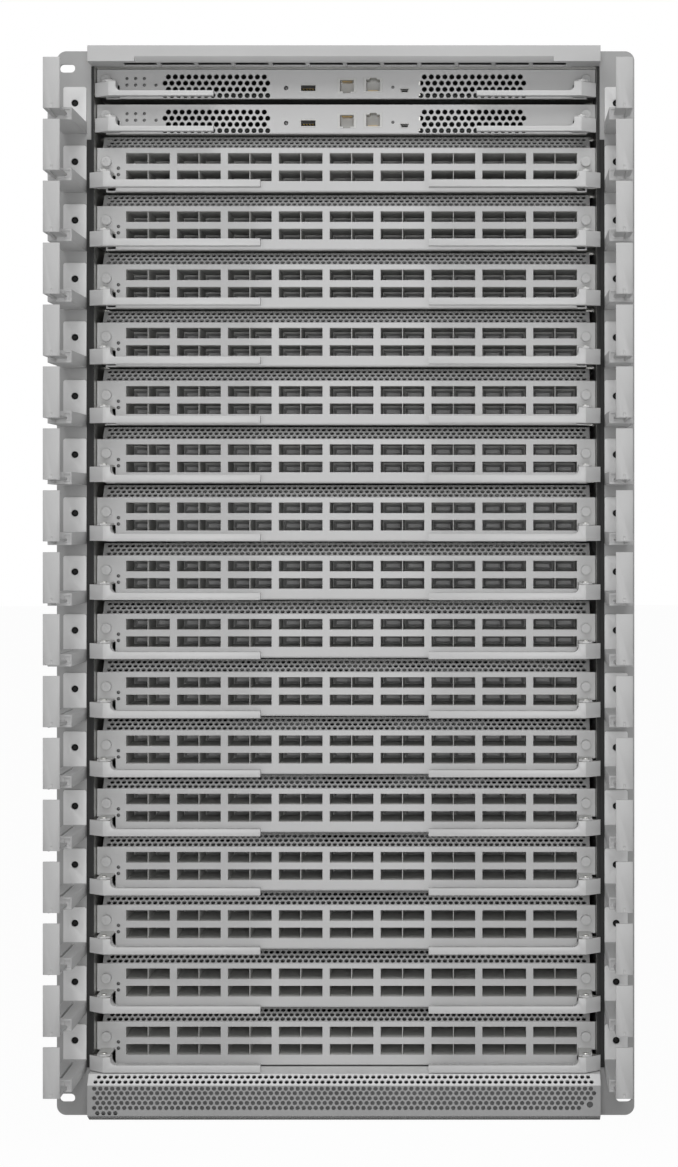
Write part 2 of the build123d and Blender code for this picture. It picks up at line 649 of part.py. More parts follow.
with BuildPart() as supervisor:
    supervisor_panel = panel_outline(
        SUPERVISOR_TOP,
        SUPERVISOR_FACE,
        SUPERVISOR_LEVER_DROPS[0] - LUG_GAP,
        SUPERVISOR_LEVER_TIP_X,
    )
    extrude(supervisor_panel, amount=-PANEL)
    supervisor_tray = tray_section(SUPERVISOR_TOP, SUPERVISOR_FACE, SUPERVISOR_WALL)
    extrude(supervisor_tray, amount=-TRAY_DEPTH)
    bend_edge = supervisor.edges().filter_by(Axis.X).group_by(Axis.Z)[0].sort_by(Axis.Y)[0]
    fillet(bend_edge, radius=SUPERVISOR_BEND)

    # Socket block behind the panel, with the network, storage and service sockets
    with BuildSketch(front_plane(-FACE_SETBACK - PANEL)):
        with Locations((SOCKET_BLOCK_PLACE[0], SUPERVISOR_TOP - SOCKET_BLOCK_PLACE[1])):
            Rectangle(*SOCKET_BLOCK_SIZE)
    extrude(amount=-(SOCKET_DEPTH + SHEET - PANEL))
    with BuildSketch(front_plane(-FACE_SETBACK)):
        for x, drop in NETWORK_PLACES:
            with Locations((x, SUPERVISOR_TOP - drop)):
                Rectangle(*NETWORK_SIZE)
        for x, drop in LATCH_PLACES:
            with Locations((x, SUPERVISOR_TOP - drop)):
                Rectangle(*LATCH_SIZE)
        with Locations((STORAGE_PLACE[0], SUPERVISOR_TOP - STORAGE_PLACE[1])):
            Rectangle(*STORAGE_SIZE)
        with Locations((SERVICE_PLACE[0], SUPERVISOR_TOP - SERVICE_PLACE[1])):
            Trapezoid(*SERVICE_SIZE, SERVICE_SIDE_ANGLE, rotation=180)
    extrude(amount=-SOCKET_DEPTH, mode=Mode.SUBTRACT)

    # Circuit board with one heat sink and the rear connector
    supervisor_board_z = SUPERVISOR_TOP - SUPERVISOR_FACE + SUPERVISOR_BOARD_RISE
    supervisor_board_length = TRAY_DEPTH - SOCKET_DEPTH
    supervisor_board_y = ahead(-TRAY_BACK + supervisor_board_length / 2)
    with BuildSketch(Plane.XY.offset(supervisor_board_z)):
        with Locations((0, supervisor_board_y)):
            Rectangle(TRAY_WIDTH - SHEET, supervisor_board_length)
    extrude(amount=BOARD)
    with BuildSketch(Plane.XY.offset(supervisor_board_z + BOARD)):
        with Locations((SUPERVISOR_SINK_X, supervisor_board_y)):
            Rectangle(SUPERVISOR_SINK_SIZE, SUPERVISOR_SINK_SIZE)
        with Locations((0, ahead(-TRAY_BACK + CONNECTOR_DEPTH / 2))):
            Rectangle(SUPERVISOR_CONNECTOR_WIDTH, CONNECTOR_DEPTH)
    extrude(amount=SUPERVISOR_COMPONENT_HEIGHT)

    supervisor_lugs = lug_outline(
        SUPERVISOR_LEVER_TIP_X,
        SUPERVISOR_TOP,
        SUPERVISOR_LEVER_DROPS[0],
        SUPERVISOR_LEVER_SETBACK,
    )
    extrude(supervisor_lugs, amount=LUG_THICKNESS)
    extrude(screw_outline(SUPERVISOR_TOP, SUPERVISOR_SCREW_DROP), amount=SCREW_HEIGHT)


# Fan trays at the back: a panel with round openings, a strut across each, and a grip

fan_zone_bottom = SHELF_Z + CAGE_PLATE
fan_zone_top = HEIGHT - SKIN - REAR_GAP
fan_tray_pitch = CAGE_WIDTH / FAN_TRAY_COUNT
fan_tray_width = fan_tray_pitch - REAR_GAP
fan_tray_height = fan_zone_top - fan_zone_bottom
fan_radius = fan_tray_width / 2 - FAN_MARGIN

with BuildPart() as fan_tray:
    with BuildSketch(front_plane(-BODY_DEPTH)):
        with Locations((0, (fan_zone_bottom + fan_zone_top) / 2)):
            Rectangle(fan_tray_width, fan_tray_height)
    extrude(amount=FAN_TRAY_DEPTH)
    with BuildSketch(front_plane(-BODY_DEPTH + FAN_TRAY_DEPTH)):
        with Locations((0, (fan_zone_bottom + fan_zone_top) / 2)):
            Rectangle(fan_tray_width - 2 * SHEET, fan_tray_height - 2 * SHEET)
    extrude(amount=-(FAN_TRAY_DEPTH - PANEL), mode=Mode.SUBTRACT)
    with BuildSketch(front_plane(-BODY_DEPTH)):
        with Locations((0, (fan_zone_bottom + fan_zone_top) / 2)):
            with GridLocations(0, FAN_PITCH, 1, FANS_PER_TRAY):
                RegularPolygon(fan_radius, FAN_SIDES)
                Rectangle(FAN_STRUT, 2 * fan_radius, mode=Mode.SUBTRACT)
    extrude(amount=PANEL, mode=Mode.SUBTRACT)

    # Grip between the second and the third fan, on two feet
    with BuildSketch(front_plane(-BODY_DEPTH)):
        with Locations((0, (fan_zone_bottom + fan_zone_top) / 2)):
            Rectangle(FAN_GRIP_LENGTH, GRIP_WIDTH)
    extrude(amount=-REAR_HANDLE_REACH)
    with BuildSketch(front_plane(-BODY_DEPTH)):
        with Locations((0, (fan_zone_bottom + fan_zone_top) / 2)):
            Rectangle(FAN_GRIP_LENGTH - 2 * GRIP_THICKNESS, GRIP_WIDTH)
    extrude(amount=-(REAR_HANDLE_REACH - GRIP_THICKNESS), mode=Mode.SUBTRACT)

fan_trays = Compound(
    label="fan_trays",
    children=[
        Pos(fan_tray_pitch * (index - (FAN_TRAY_COUNT - 1) / 2), 0, 0) * fan_tray.part.solid()
        for index in range(FAN_TRAY_COUNT)
    ],
)


# Power supplies at the back: a case, a power inlet and a grip

supply_pitch = CAGE_WIDTH / SUPPLY_COLUMNS
supply_width = supply_pitch - REAR_GAP
supply_rise = SUPPLY_HEIGHT + RUNNING_GAP

with BuildPart() as power_supply:
    supply_middle = CAGE_FLOOR_TOP + SUPPLY_HEIGHT / 2
    with BuildSketch(front_plane(-BODY_DEPTH)):
        with Locations((0, supply_middle)):
            Rectangle(supply_width, SUPPLY_HEIGHT)
    extrude(amount=SUPPLY_DEPTH)
    with BuildSketch(front_plane(-BODY_DEPTH + SUPPLY_DEPTH)):
        with Locations((0, supply_middle)):
            Rectangle(supply_width - 2 * SHEET, SUPPLY_HEIGHT - 2 * SHEET)
    extrude(amount=-(SUPPLY_DEPTH - SUPPLY_FACE), mode=Mode.SUBTRACT)
    with BuildSketch(front_plane(-BODY_DEPTH)):
        with Locations((SUPPLY_SIDE_X, supply_middle - INLET_DROP)):
            Rectangle(*INLET_SIZE)
        with Locations((SUPPLY_FAN_X, supply_middle)):
            RegularPolygon(SUPPLY_FAN_RADIUS, FAN_SIDES)
    extrude(amount=SOCKET_DEPTH, mode=Mode.SUBTRACT)
    with BuildSketch(front_plane(-BODY_DEPTH)):
        with Locations((SUPPLY_SIDE_X, supply_middle + SUPPLY_GRIP_RISE)):
            Rectangle(SUPPLY_GRIP_LENGTH, GRIP_WIDTH)
    extrude(amount=-REAR_HANDLE_REACH)
    with BuildSketch(front_plane(-BODY_DEPTH)):
        with Locations((SUPPLY_SIDE_X, supply_middle + SUPPLY_GRIP_RISE)):
            Rectangle(SUPPLY_GRIP_LENGTH - 2 * GRIP_THICKNESS, GRIP_WIDTH)
    extrude(amount=-(REAR_HANDLE_REACH - GRIP_THICKNESS), mode=Mode.SUBTRACT)

power_supplies = Compound(
    label="power_supplies",
    children=[
        Pos(supply_pitch * (column - (SUPPLY_COLUMNS - 1) / 2), 0, row * supply_rise)
        * power_supply.part.solid()
        for row in range(SUPPLY_ROWS)
        for column in range(SUPPLY_COLUMNS)
    ],
)


# Write every sub-part

os.makedirs("parts", exist_ok=True)
export_step(chassis_frame, "parts/chassis_frame.step")
export_step(top_visor.part, "parts/top_visor.step")
export_step(air_intake.part, "parts/air_intake.step")
export_step(cable_brackets, "parts/cable_brackets.step")
export_step(fan_trays, "parts/fan_trays.step")
export_step(power_supplies, "parts/power_supplies.step")


def export_module(name, module, right_lever, drop):
    """Write a module and its two levers, moved down to their place in the cage."""
    place = Pos(0, 0, -drop)
    pieces = {
        name: module,
        name + "_lever_right": right_lever,
        name + "_lever_left": mirror(right_lever, about=Plane.YZ),
    }
    for piece_name, piece in pieces.items():
        placed = place * piece
        placed.label = piece_name
        export_step(placed, f"parts/{piece_name}.step")


card_lever = build_lever(
    "card_lever", CARD_LEVER_LENGTH, CARD_LEVER_TIP_X, CARD_TOP, CARD_LEVER_DROPS, 0
)
supervisor_lever = build_lever(
    "supervisor_lever",
    SUPERVISOR_LEVER_LENGTH,
    SUPERVISOR_LEVER_TIP_X,
    SUPERVISOR_TOP,
    SUPERVISOR_LEVER_DROPS,
    SUPERVISOR_LEVER_SETBACK,
)
for index in range(CARD_COUNT):
    export_module(f"line_card_{index + 1:02d}", line_card.part, card_lever, CARD_PITCH * index)
for index in range(SUPERVISOR_COUNT):
    export_module(
        f"supervisor_{index + 1}", supervisor.part, supervisor_lever, SUPERVISOR_PITCH * index
    )
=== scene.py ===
# %% [markdown]
# # A modular chassis switch
# This lesson dresses a rack-mount chassis switch: a tall sheet metal chassis with two
# supervisor modules, sixteen line cards, ejector levers and cable brackets. The solids come
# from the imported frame. They have the right sizes and joints but plain faces, so each
# one gets its perforated sheets, rounded edges, sockets, screws and finishes here.

# %% Load the frame
import json
import math

import bmesh
import bpy
from mathutils import Matrix, Vector

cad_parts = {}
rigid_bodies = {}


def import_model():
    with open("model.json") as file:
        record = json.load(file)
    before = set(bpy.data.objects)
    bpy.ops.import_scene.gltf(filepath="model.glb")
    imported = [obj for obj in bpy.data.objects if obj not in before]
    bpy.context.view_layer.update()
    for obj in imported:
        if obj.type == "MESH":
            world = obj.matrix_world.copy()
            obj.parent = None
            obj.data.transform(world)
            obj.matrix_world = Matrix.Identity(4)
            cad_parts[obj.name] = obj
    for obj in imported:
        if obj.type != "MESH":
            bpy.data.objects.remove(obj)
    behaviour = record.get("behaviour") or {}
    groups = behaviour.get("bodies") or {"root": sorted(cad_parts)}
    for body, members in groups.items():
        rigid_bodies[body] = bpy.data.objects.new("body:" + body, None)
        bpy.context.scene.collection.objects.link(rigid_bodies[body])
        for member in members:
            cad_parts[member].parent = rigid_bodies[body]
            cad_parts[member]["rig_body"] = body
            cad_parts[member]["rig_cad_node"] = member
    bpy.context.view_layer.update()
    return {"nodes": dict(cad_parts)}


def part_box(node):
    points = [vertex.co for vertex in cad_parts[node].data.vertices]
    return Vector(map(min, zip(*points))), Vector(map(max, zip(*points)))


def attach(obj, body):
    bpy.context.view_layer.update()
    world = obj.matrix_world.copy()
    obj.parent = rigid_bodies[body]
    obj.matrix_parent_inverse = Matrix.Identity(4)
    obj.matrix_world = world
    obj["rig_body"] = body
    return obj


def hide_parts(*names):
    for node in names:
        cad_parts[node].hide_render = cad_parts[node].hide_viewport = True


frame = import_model()
MM = 0.001
EAR_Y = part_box("cable_brackets")[1].y
print("nodes", len(frame["nodes"]), "ears at y", round(EAR_Y, 4))


def point(x, ahead, z):
    """A place in metres, from millimetres sideways, ahead of the rack ears, and up."""
    return Vector((x * MM, EAR_Y - ahead * MM, z * MM))


def place(vertex):
    """Millimetres sideways, ahead of the rack ears, and up, of a place in metres."""
    return Vector((vertex.x / MM, (EAR_Y - vertex.y) / MM, vertex.z / MM))


# %% [markdown]
# The camera stands straight in front, a little right of the middle and at mid height, so
# upright and level edges stay upright and level. The photograph is cropped off centre, and
# the lens shift repeats that crop.

# %% Camera
PHOTO_WIDTH, PHOTO_HEIGHT = 678, 1167
VANISHING_POINT_PX = (480, 516)
EAR_SCALE = 1.1966
CAMERA_AHEAD = 2150
SENSOR = 36

camera_data = bpy.data.cameras.new("camera")
camera = bpy.data.objects.new("camera", camera_data)
bpy.context.scene.collection.objects.link(camera)
camera.location = point(112.3, CAMERA_AHEAD, 500.6)
camera.rotation_euler = (math.radians(90), 0, 0)
camera_data.sensor_width = SENSOR
camera_data.lens = EAR_SCALE * CAMERA_AHEAD * SENSOR / PHOTO_HEIGHT
camera_data.shift_x = (PHOTO_WIDTH / 2 - VANISHING_POINT_PX[0]) / PHOTO_HEIGHT
camera_data.shift_y = (VANISHING_POINT_PX[1] - PHOTO_HEIGHT / 2) / PHOTO_HEIGHT
bpy.context.scene.camera = camera
bpy.context.scene.view_settings.view_transform = "Standard"
print("lens", round(camera_data.lens, 1), "mm")

# %% [markdown]
# The studio is a pale floor, a white world and two soft lamps. The large lamp stands behind
# the camera, because in the photograph the port cages near eye height are lit deep inside
# and the others are dark. The second lamp hangs above and brightens what faces up.


# %% Studio
def hex_colour(code):
    """Linear colour of an sRGB hex value."""
    parts = [int(code[start:start + 2], 16) / 255 for start in (1, 3, 5)]
    linear = [c / 12.92 if c <= 0.04045 else ((c + 0.055) / 1.055) ** 2.4 for c in parts]
    return (*linear, 1)


def add_node(tree, kind, settings=None, links=None):
    """Adds a node, sets its properties and sockets, and links its inputs from other sockets."""
    node = tree.nodes.new(kind)
    for name, value in (settings or {}).items():
        if isinstance(name, int) or name in node.inputs:
            node.inputs[name].default_value = value
        else:
            setattr(node, name, value)
    for name, source in (links or {}).items():
        tree.links.new(source, node.inputs[name])
    return node


def add_lamp(name, size, power, location, target):
    """A soft square area lamp that shines at the target."""
    data = bpy.data.lights.new(name, "AREA")
    data.size = size
    data.energy = power
    lamp = bpy.data.objects.new(name, data)
    bpy.context.scene.collection.objects.link(lamp)
    lamp.location = location
    lamp.rotation_euler = (target - location).to_track_quat("-Z", "Y").to_euler()
    return lamp


AMBIENT = 0.17
chassis_middle = point(0, -400, 450)
add_lamp("front_lamp", 0.7, 13, point(112, 2300, 520), chassis_middle)
add_lamp("top_lamp", 1.6, 24, point(0, 1800, 2300), chassis_middle)

world = bpy.data.worlds.new("white_studio")
bpy.context.scene.world = world
world.use_nodes = True
tree = world.node_tree
tree.nodes.clear()
path = add_node(tree, "ShaderNodeLightPath").outputs
direct = add_node(
    tree, "ShaderNodeMath", {"operation": "MAXIMUM"},
    {0: path["Is Camera Ray"], 1: path["Is Transmission Ray"]},
)
seen = add_node(
    tree, "ShaderNodeMath", {"operation": "MAXIMUM"},
    {0: direct.outputs[0], 1: path["Is Glossy Ray"]},
)
strength = add_node(
    tree, "ShaderNodeMapRange", {"To Min": AMBIENT, "To Max": 1.0}, {"Value": seen.outputs[0]}
)
sky = add_node(
    tree, "ShaderNodeBackground", {"Color": hex_colour("#FFFFFF")},
    {"Strength": strength.outputs[0]},
)
add_node(tree, "ShaderNodeOutputWorld", None, {"Surface": sky.outputs[0]})
print("world and lamps made")

# %% [markdown]
# The floor is a large pale disc. Seen by the camera it is mixed with plain white, so that
# it joins the white world and still keeps the soft shadow of the chassis.

# %% Floor
FLOOR_RADIUS = 12.0
FLOOR_WHITE = 0.97


def deselect():
    """Leaves edit mode and selects nothing."""
    if bpy.context.mode != "OBJECT":
        bpy.ops.object.mode_set(mode="OBJECT")
    bpy.ops.object.select_all(action="DESELECT")


deselect()
bpy.ops.mesh.primitive_circle_add(
    vertices=96, radius=FLOOR_RADIUS, fill_type="NGON", location=(0, 0, 0)
)
floor = bpy.context.active_object
floor.name = "studio_floor"
floor_paint = bpy.data.materials.new("pale_studio_floor")
floor_paint.use_nodes = True
tree = floor_paint.node_tree
tree.nodes["Principled BSDF"].inputs["Base Color"].default_value = hex_colour("#F2F2F2")
tree.nodes["Principled BSDF"].inputs["Roughness"].default_value = 0.9
path = add_node(tree, "ShaderNodeLightPath").outputs
share = add_node(
    tree, "ShaderNodeMath", {"operation": "MULTIPLY", 1: FLOOR_WHITE}, {0: path["Is Camera Ray"]}
)
white = add_node(tree, "ShaderNodeEmission", {"Color": hex_colour("#FFFFFF")})
mixed = add_node(
    tree, "ShaderNodeMixShader", None,
    {0: share.outputs[0], 1: tree.nodes["Principled BSDF"].outputs[0], 2: white.outputs[0]},
)
tree.links.new(mixed.outputs[0], tree.nodes["Material Output"].inputs["Surface"])
floor.data.materials.append(floor_paint)
print("floor radius", FLOOR_RADIUS, "m")

# %% [markdown]
# Materials. The chassis, the panels and the levers are powder-coated or painted steel in one
# light silver grey. A powder coat is a dielectric: it gives a broad soft gloss and a very
# fine orange peel. The grain is drawn about 1 mm wide, coarser than real, so that it shows.
# A faint slow change of tone keeps large sheets from looking printed, and a pale strip along the
# top edge of each lever bar is a painted highlight.


# %% Paint
def new_material(name, colour, roughness, metallic=0.0):
    """A named material, its node tree and its main shader."""
    material = bpy.data.materials.new(name)
    material.use_nodes = True
    shader = material.node_tree.nodes["Principled BSDF"]
    shader.inputs["Base Color"].default_value = hex_colour(colour)
    shader.inputs["Roughness"].default_value = roughness
    shader.inputs["Metallic"].default_value = metallic
    return material, material.node_tree, shader


def blend_tones(tree, shader, factor, first, second):
    """The base colour runs from the first tone to the second with the factor."""
    tones = add_node(tree, "ShaderNodeValToRGB", None, {"Fac": factor})
    tones.color_ramp.elements[0].position = 0.3
    tones.color_ramp.elements[1].position = 0.7
    tones.color_ramp.elements[0].color = hex_colour(first)
    tones.color_ramp.elements[1].color = hex_colour(second)
    tree.links.new(tones.outputs["Color"], shader.inputs["Base Color"])
    return tones


def add_grain(tree, shader, height, strength, depth_mm):
    """A bump that reads the height."""
    bump = add_node(
        tree, "ShaderNodeBump", {"Strength": strength, "Distance": depth_mm * MM},
        {"Height": height},
    )
    tree.links.new(bump.outputs["Normal"], shader.inputs["Normal"])


def coated_steel(name, light, dark, roughness, grain_mm):
    """Painted steel with orange peel, patches 70 mm wide and a little dust in the roughness."""
    material, tree, shader = new_material(name, light, roughness)
    spot = add_node(tree, "ShaderNodeTexCoord").outputs["Object"]
    mottle = add_node(tree, "ShaderNodeTexNoise", {"Scale": 14.0, "Detail": 4.0}, {"Vector": spot})
    blend_tones(tree, shader, mottle.outputs["Fac"], dark, light)
    peel = add_node(
        tree, "ShaderNodeTexNoise", {"Scale": 1 / (grain_mm * MM), "Detail": 2.0}, {"Vector": spot}
    )
    dust = add_node(
        tree, "ShaderNodeMapRange", {"To Min": roughness - 0.05, "To Max": roughness + 0.07},
        {"Value": mottle.outputs["Fac"]},
    )
    tree.links.new(dust.outputs[0], shader.inputs["Roughness"])
    add_grain(tree, shader, peel.outputs["Fac"], 0.15, 0.05)
    return material


# Powder coat of the outer sheets: a satin mid grey with a fine orange peel. Its mid grey is partly
# the sheets' own tone and partly painted shade of the rack ears.
chassis_grey_and_shade = coated_steel("powder_coated_chassis_grey_and_painted_shade", "#ACACAC", "#A6A6A6", 0.45, 1.1)
# The same coat in the pale grey of the panels.
panel_coat = coated_steel("powder_coated_steel_panel", "#CFCFCF", "#CACACA", 0.42, 1.0)
# Paint on cast zinc: smoother than powder coat, so a lever catches more light.
lever_coat = coated_steel("painted_cast_lever", "#D2D2D2", "#CDCDCD", 0.36, 0.8)
# The visor's coat lies between the two greys.
visor_coat = coated_steel("powder_coated_steel_visor", "#C8C8C8", "#C2C2C2", 0.42, 1.0)
# The intake has the chassis grey with a finer grain; on its front the darker grey is partly painted
# shade.
intake_coat = coated_steel("powder_coated_steel_intake", "#ACACAC", "#A6A6A6", 0.45, 1.0)
# The intake's slope and shelf are the same sheet, painted nearly white: a painted highlight of the
# light from above.
shelf_painted_highlight = coated_steel("steel_shelf_painted_highlight", "#EEEEEE", "#E8E8E8", 0.4, 1.0)
# Painted highlight along the top edge of each lever bar: a pale, hard glint.
lever_painted_highlight = coated_steel("lever_edge_painted_highlight", "#FAFAFA", "#F4F4F4", 0.3, 0.8)
print("coats", chassis_grey_and_shade.name, panel_coat.name, lever_coat.name, intake_coat.name)

# %% [markdown]
# The cable brackets are moulded ABS in the same grey, with the fine sparkle of a textured
# mould. The trays behind the panels are zinc-plated steel, a metal with brushed lines from
# the rolling mill, and the port cages have a matt tin plate, which scatters light
# almost like paint.


# %% Moulded and plated finishes
def rolled_metal(name, light, dark, roughness, line_mm, along):
    """Plated sheet with fine lines from the rolling mill along one direction."""
    material, tree, shader = new_material(name, light, roughness, metallic=1.0)
    spot = add_node(tree, "ShaderNodeTexCoord").outputs["Object"]
    across = [1 / (line_mm * MM)] * 3
    across["XYZ".index(along)] = 6.0
    stretched = add_node(tree, "ShaderNodeMapping", {"Scale": across}, {"Vector": spot})
    lines = add_node(
        tree, "ShaderNodeTexNoise", {"Scale": 1.0, "Detail": 3.0}, {"Vector": stretched.outputs[0]}
    )
    blend_tones(tree, shader, lines.outputs["Fac"], dark, light)
    add_grain(tree, shader, lines.outputs["Fac"], 0.1, 0.03)
    return material


def moulded(name, light, dark, roughness, sparkle_mm):
    """Moulded plastic with the fine pits of a textured mould and flow marks 40 mm wide."""
    material, tree, shader = new_material(name, light, roughness)
    spot = add_node(tree, "ShaderNodeTexCoord").outputs["Object"]
    pits = add_node(
        tree, "ShaderNodeTexVoronoi", {"Scale": 1 / (sparkle_mm * MM)}, {"Vector": spot}
    )
    flow = add_node(tree, "ShaderNodeTexNoise", {"Scale": 25.0, "Detail": 3.0}, {"Vector": spot})
    blend_tones(tree, shader, flow.outputs["Fac"], dark, light)
    add_grain(tree, shader, pits.outputs["Distance"], 0.12, 0.04)
    return material


# Textured ABS: a soft, even gloss with a little sparkle from the mould.
bracket_abs = moulded("textured_abs_bracket", "#C6C6C6", "#C1C1C1", 0.5, 0.9)
# The bracket's base is the same plastic, a little glossier; its paler tone is painted light.
bracket_base_painted_light = moulded("abs_bracket_base_painted_light", "#EAEAEA", "#E4E4E4", 0.4, 0.9)
# Black nylon: dull and black, with a weak sheen.
black_nylon = moulded("black_nylon_connector", "#1B1B1B", "#141414", 0.5, 0.6)
# Smoked acrylic: smooth and dark, with a small image of the lamp.
lens_plastic = moulded("smoked_acrylic_light_pipe", "#5A5A5A", "#4E4E4E", 0.25, 0.8)
# Zinc plate: a grey metal with fine lines from the rolling mill.
tray_zinc = rolled_metal("zinc_plated_steel_tray", "#C9C9C6", "#BDBDBA", 0.42, 0.7, "Y")
# Matt tin plate: pale, with no mirror image, so it reads almost like paint.
cage_tin = coated_steel("matt_tin_plated_cage", "#D6D6D4", "#CCCCCA", 0.5, 0.6)
# Pale, dull grey polymer: its pale tone is painted light, so the backs of the ports look lit.
connector_painted_light = moulded("connector_polymer_painted_light", "#C4C4C4", "#B8B8B8", 0.5, 0.6)
# Zinc-plated screws and wires: a small bright metal highlight.
screw_zinc = rolled_metal("zinc_plated_screw", "#C4C4C0", "#A9A9A5", 0.35, 0.3, "X")
# Extruded aluminium: a cooler metal with lines along its ribs.
sink_aluminium = rolled_metal("extruded_aluminium_sink", "#B4B6B8", "#A4A6A8", 0.4, 0.5, "X")
# Nearly black cloth over foam, without gloss: painted shade for the narrow gaps beside the card
# cage.
dark_cloth_painted_shade = moulded("nearly_black_cloth_painted_shade", "#2E2E2E", "#262626", 0.8, 0.8)
print("plated and moulded finishes made")

# %% [markdown]
# The circuit boards are glass cloth in epoxy under black solder mask. A woven checker shows
# faintly under the mask, and paler tracks run in squares.

# %% Circuit board
board_epoxy, tree, shader = new_material("black_glass_epoxy_board", "#232625", 0.4)
spot = add_node(tree, "ShaderNodeTexCoord").outputs["Object"]
weave = add_node(tree, "ShaderNodeTexChecker", {"Scale": 1 / (1.2 * MM)}, {"Vector": spot})
tracks = add_node(
    tree, "ShaderNodeTexBrick", {"Scale": 1 / (9 * MM), "Mortar Size": 0.06}, {"Vector": spot}
)
tracks.inputs["Color1"].default_value = hex_colour("#232625")
tracks.inputs["Color2"].default_value = hex_colour("#1E2120")
tracks.inputs["Mortar"].default_value = hex_colour("#343836")
tree.links.new(tracks.outputs["Color"], shader.inputs["Base Color"])
add_grain(tree, shader, weave.outputs["Fac"], 0.08, 0.03)
print("board", board_epoxy.name)

# %% [markdown]
# Shaping tools. Every CAD node's mesh is loose triangles, so a copy is merged and its flat
# triangles joined before any edge is rounded or any hole cut. Faces and edges are chosen
# in code by the box that they fill, in millimetres.


# %% Copy, select, cut
def activate(piece):
    """Selects only this piece and makes it active."""
    deselect()
    piece.select_set(True)
    bpy.context.view_layer.objects.active = piece


def edit(piece):
    """Opens the piece in edit mode with nothing selected."""
    activate(piece)
    bpy.ops.object.mode_set(mode="EDIT")
    bpy.ops.mesh.select_all(action="DESELECT")


def span(corners):
    """The lowest and the highest millimetres of the corners along each axis."""
    corners = [place(corner) for corner in corners]
    low = Vector([min(corner[axis] for corner in corners) for axis in range(3)])
    high = Vector([max(corner[axis] for corner in corners) for axis in range(3)])
    return low, high


def select_where(piece, kind, test):
    """In edit mode, selects the FACE or EDGE parts whose lowest and highest corners pass."""
    bpy.ops.mesh.select_mode(type=kind)
    mesh = bmesh.from_edit_mesh(piece.data)
    chosen = 0
    for part in mesh.faces if kind == "FACE" else mesh.edges:
        if test(*span([vertex.co for vertex in part.verts])):
            part.select_set(True)
            chosen += 1
    mesh.select_flush_mode()
    bmesh.update_edit_mesh(piece.data)
    return chosen


def merged_copy(node, name, keep=None):
    """A connected copy of a CAD node, or of its faces that pass the test."""
    piece = frame["nodes"][node].copy()
    piece.data = piece.data.copy()
    piece.name = piece.data.name = name
    piece.parent = None
    del piece["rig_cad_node"]
    del piece["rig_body"]
    bpy.context.scene.collection.objects.link(piece)
    piece.hide_viewport = piece.hide_render = False
    piece.hide_set(False)
    piece.data.materials.clear()
    activate(piece)
    bpy.ops.mesh.customdata_custom_splitnormals_clear()
    edit(piece)
    if keep:
        select_where(piece, "FACE", lambda low, high: not keep(low, high))
        bpy.ops.mesh.delete(type="FACE")
    bpy.ops.mesh.select_mode(type="VERT")
    bpy.ops.mesh.select_all(action="SELECT")
    bpy.ops.mesh.remove_doubles(threshold=0.00002)
    bpy.ops.mesh.dissolve_limited(angle_limit=math.radians(1))
    deselect()
    return piece


def cut(piece, cutter):
    """Takes the cutter's shape out of the piece."""
    activate(piece)
    hollow = piece.modifiers.new("hollow", "BOOLEAN")
    hollow.operation = "DIFFERENCE"
    hollow.solver = "EXACT"
    hollow.object = cutter
    bpy.ops.object.modifier_apply(modifier="hollow")
    bpy.data.objects.remove(cutter)


def repeat(piece, *steps):
    """Repeats the piece's mesh: each step is a count and a move in millimetres."""
    activate(piece)
    for count, x, ahead, z in steps:
        if count > 1:
            rows = piece.modifiers.new("rows", "ARRAY")
            rows.count = count
            rows.use_relative_offset = False
            rows.use_constant_offset = True
            rows.constant_offset_displace = (x * MM, -ahead * MM, z * MM)
            bpy.ops.object.modifier_apply(modifier="rows")
    return piece


def apply_place(piece):
    """Moves the object's place, turn and scale into its mesh."""
    activate(piece)
    bpy.ops.object.transform_apply(location=True, rotation=True, scale=True)
    return piece


def block(name, middle, size):
    """A block at a place, with its size sideways, ahead and up in millimetres."""
    deselect()
    bpy.ops.mesh.primitive_cube_add(
        size=1, location=point(*middle), scale=[side * MM for side in size]
    )
    piece = bpy.context.active_object
    piece.name = piece.data.name = name
    return apply_place(piece)


def bar(name, middle, radius, length, tilt=90, sides=10, turn=0):
    """A round bar. A tilt of 90 points it at the viewer, and 0 stands it upright."""
    deselect()
    bpy.ops.mesh.primitive_cylinder_add(
        vertices=sides, radius=radius * MM, depth=length * MM, location=point(*middle),
        rotation=(math.radians(tilt), 0, math.radians(turn)),
    )
    piece = bpy.context.active_object
    piece.name = piece.data.name = name
    return apply_place(piece)


def join(*pieces):
    """Joins the pieces into the first one."""
    activate(pieces[0])
    for piece in pieces:
        piece.select_set(True)
    if len(pieces) > 1:
        bpy.ops.object.join()
    return pieces[0]


def edge_uses(piece):
    """How many faces share each edge."""
    uses = {}
    for face in piece.data.polygons:
        for key in face.edge_keys:
            uses[key] = uses.get(key, 0) + 1
    return uses.values()


print("tools ready")

# %% [markdown]
# A finished piece takes its material, rides on its body, and may stand for a CAD node. A repeated
# piece is a copy with its own mesh, moved in that mesh.


# %% Finish and copy
def paint(piece, material, test=None):
    """The whole piece takes the material, or only the faces whose low and high corners pass."""
    if material.name not in piece.data.materials:
        piece.data.materials.append(material)
    number = piece.data.materials.find(material.name)
    for face in piece.data.polygons:
        corners = [piece.data.vertices[corner].co for corner in face.vertices]
        if test is None or test(*span(corners)):
            face.material_index = number
    return piece


def round_edges(piece, width, segments=2, angle=40):
    """Rounds every sharp edge of the piece."""
    activate(piece)
    rounding = piece.modifiers.new("rounding", "BEVEL")
    rounding.width = width * MM
    rounding.segments = segments
    rounding.limit_method = "ANGLE"
    rounding.angle_limit = math.radians(angle)
    rounding.use_clamp_overlap = True
    bpy.ops.object.modifier_apply(modifier="rounding")
    return piece


def shade(piece, angle=35):
    """Smooth shading across flat angles, sharp across the others."""
    activate(piece)
    bpy.ops.object.shade_smooth_by_angle(angle=math.radians(angle))
    return piece


def mount(piece, body, slot_name, *stands_for):
    """The piece rides on the body and stands for CAD nodes; slot_name is not used."""
    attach(piece, body)
    if stands_for:
        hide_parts(*stands_for)
    return piece


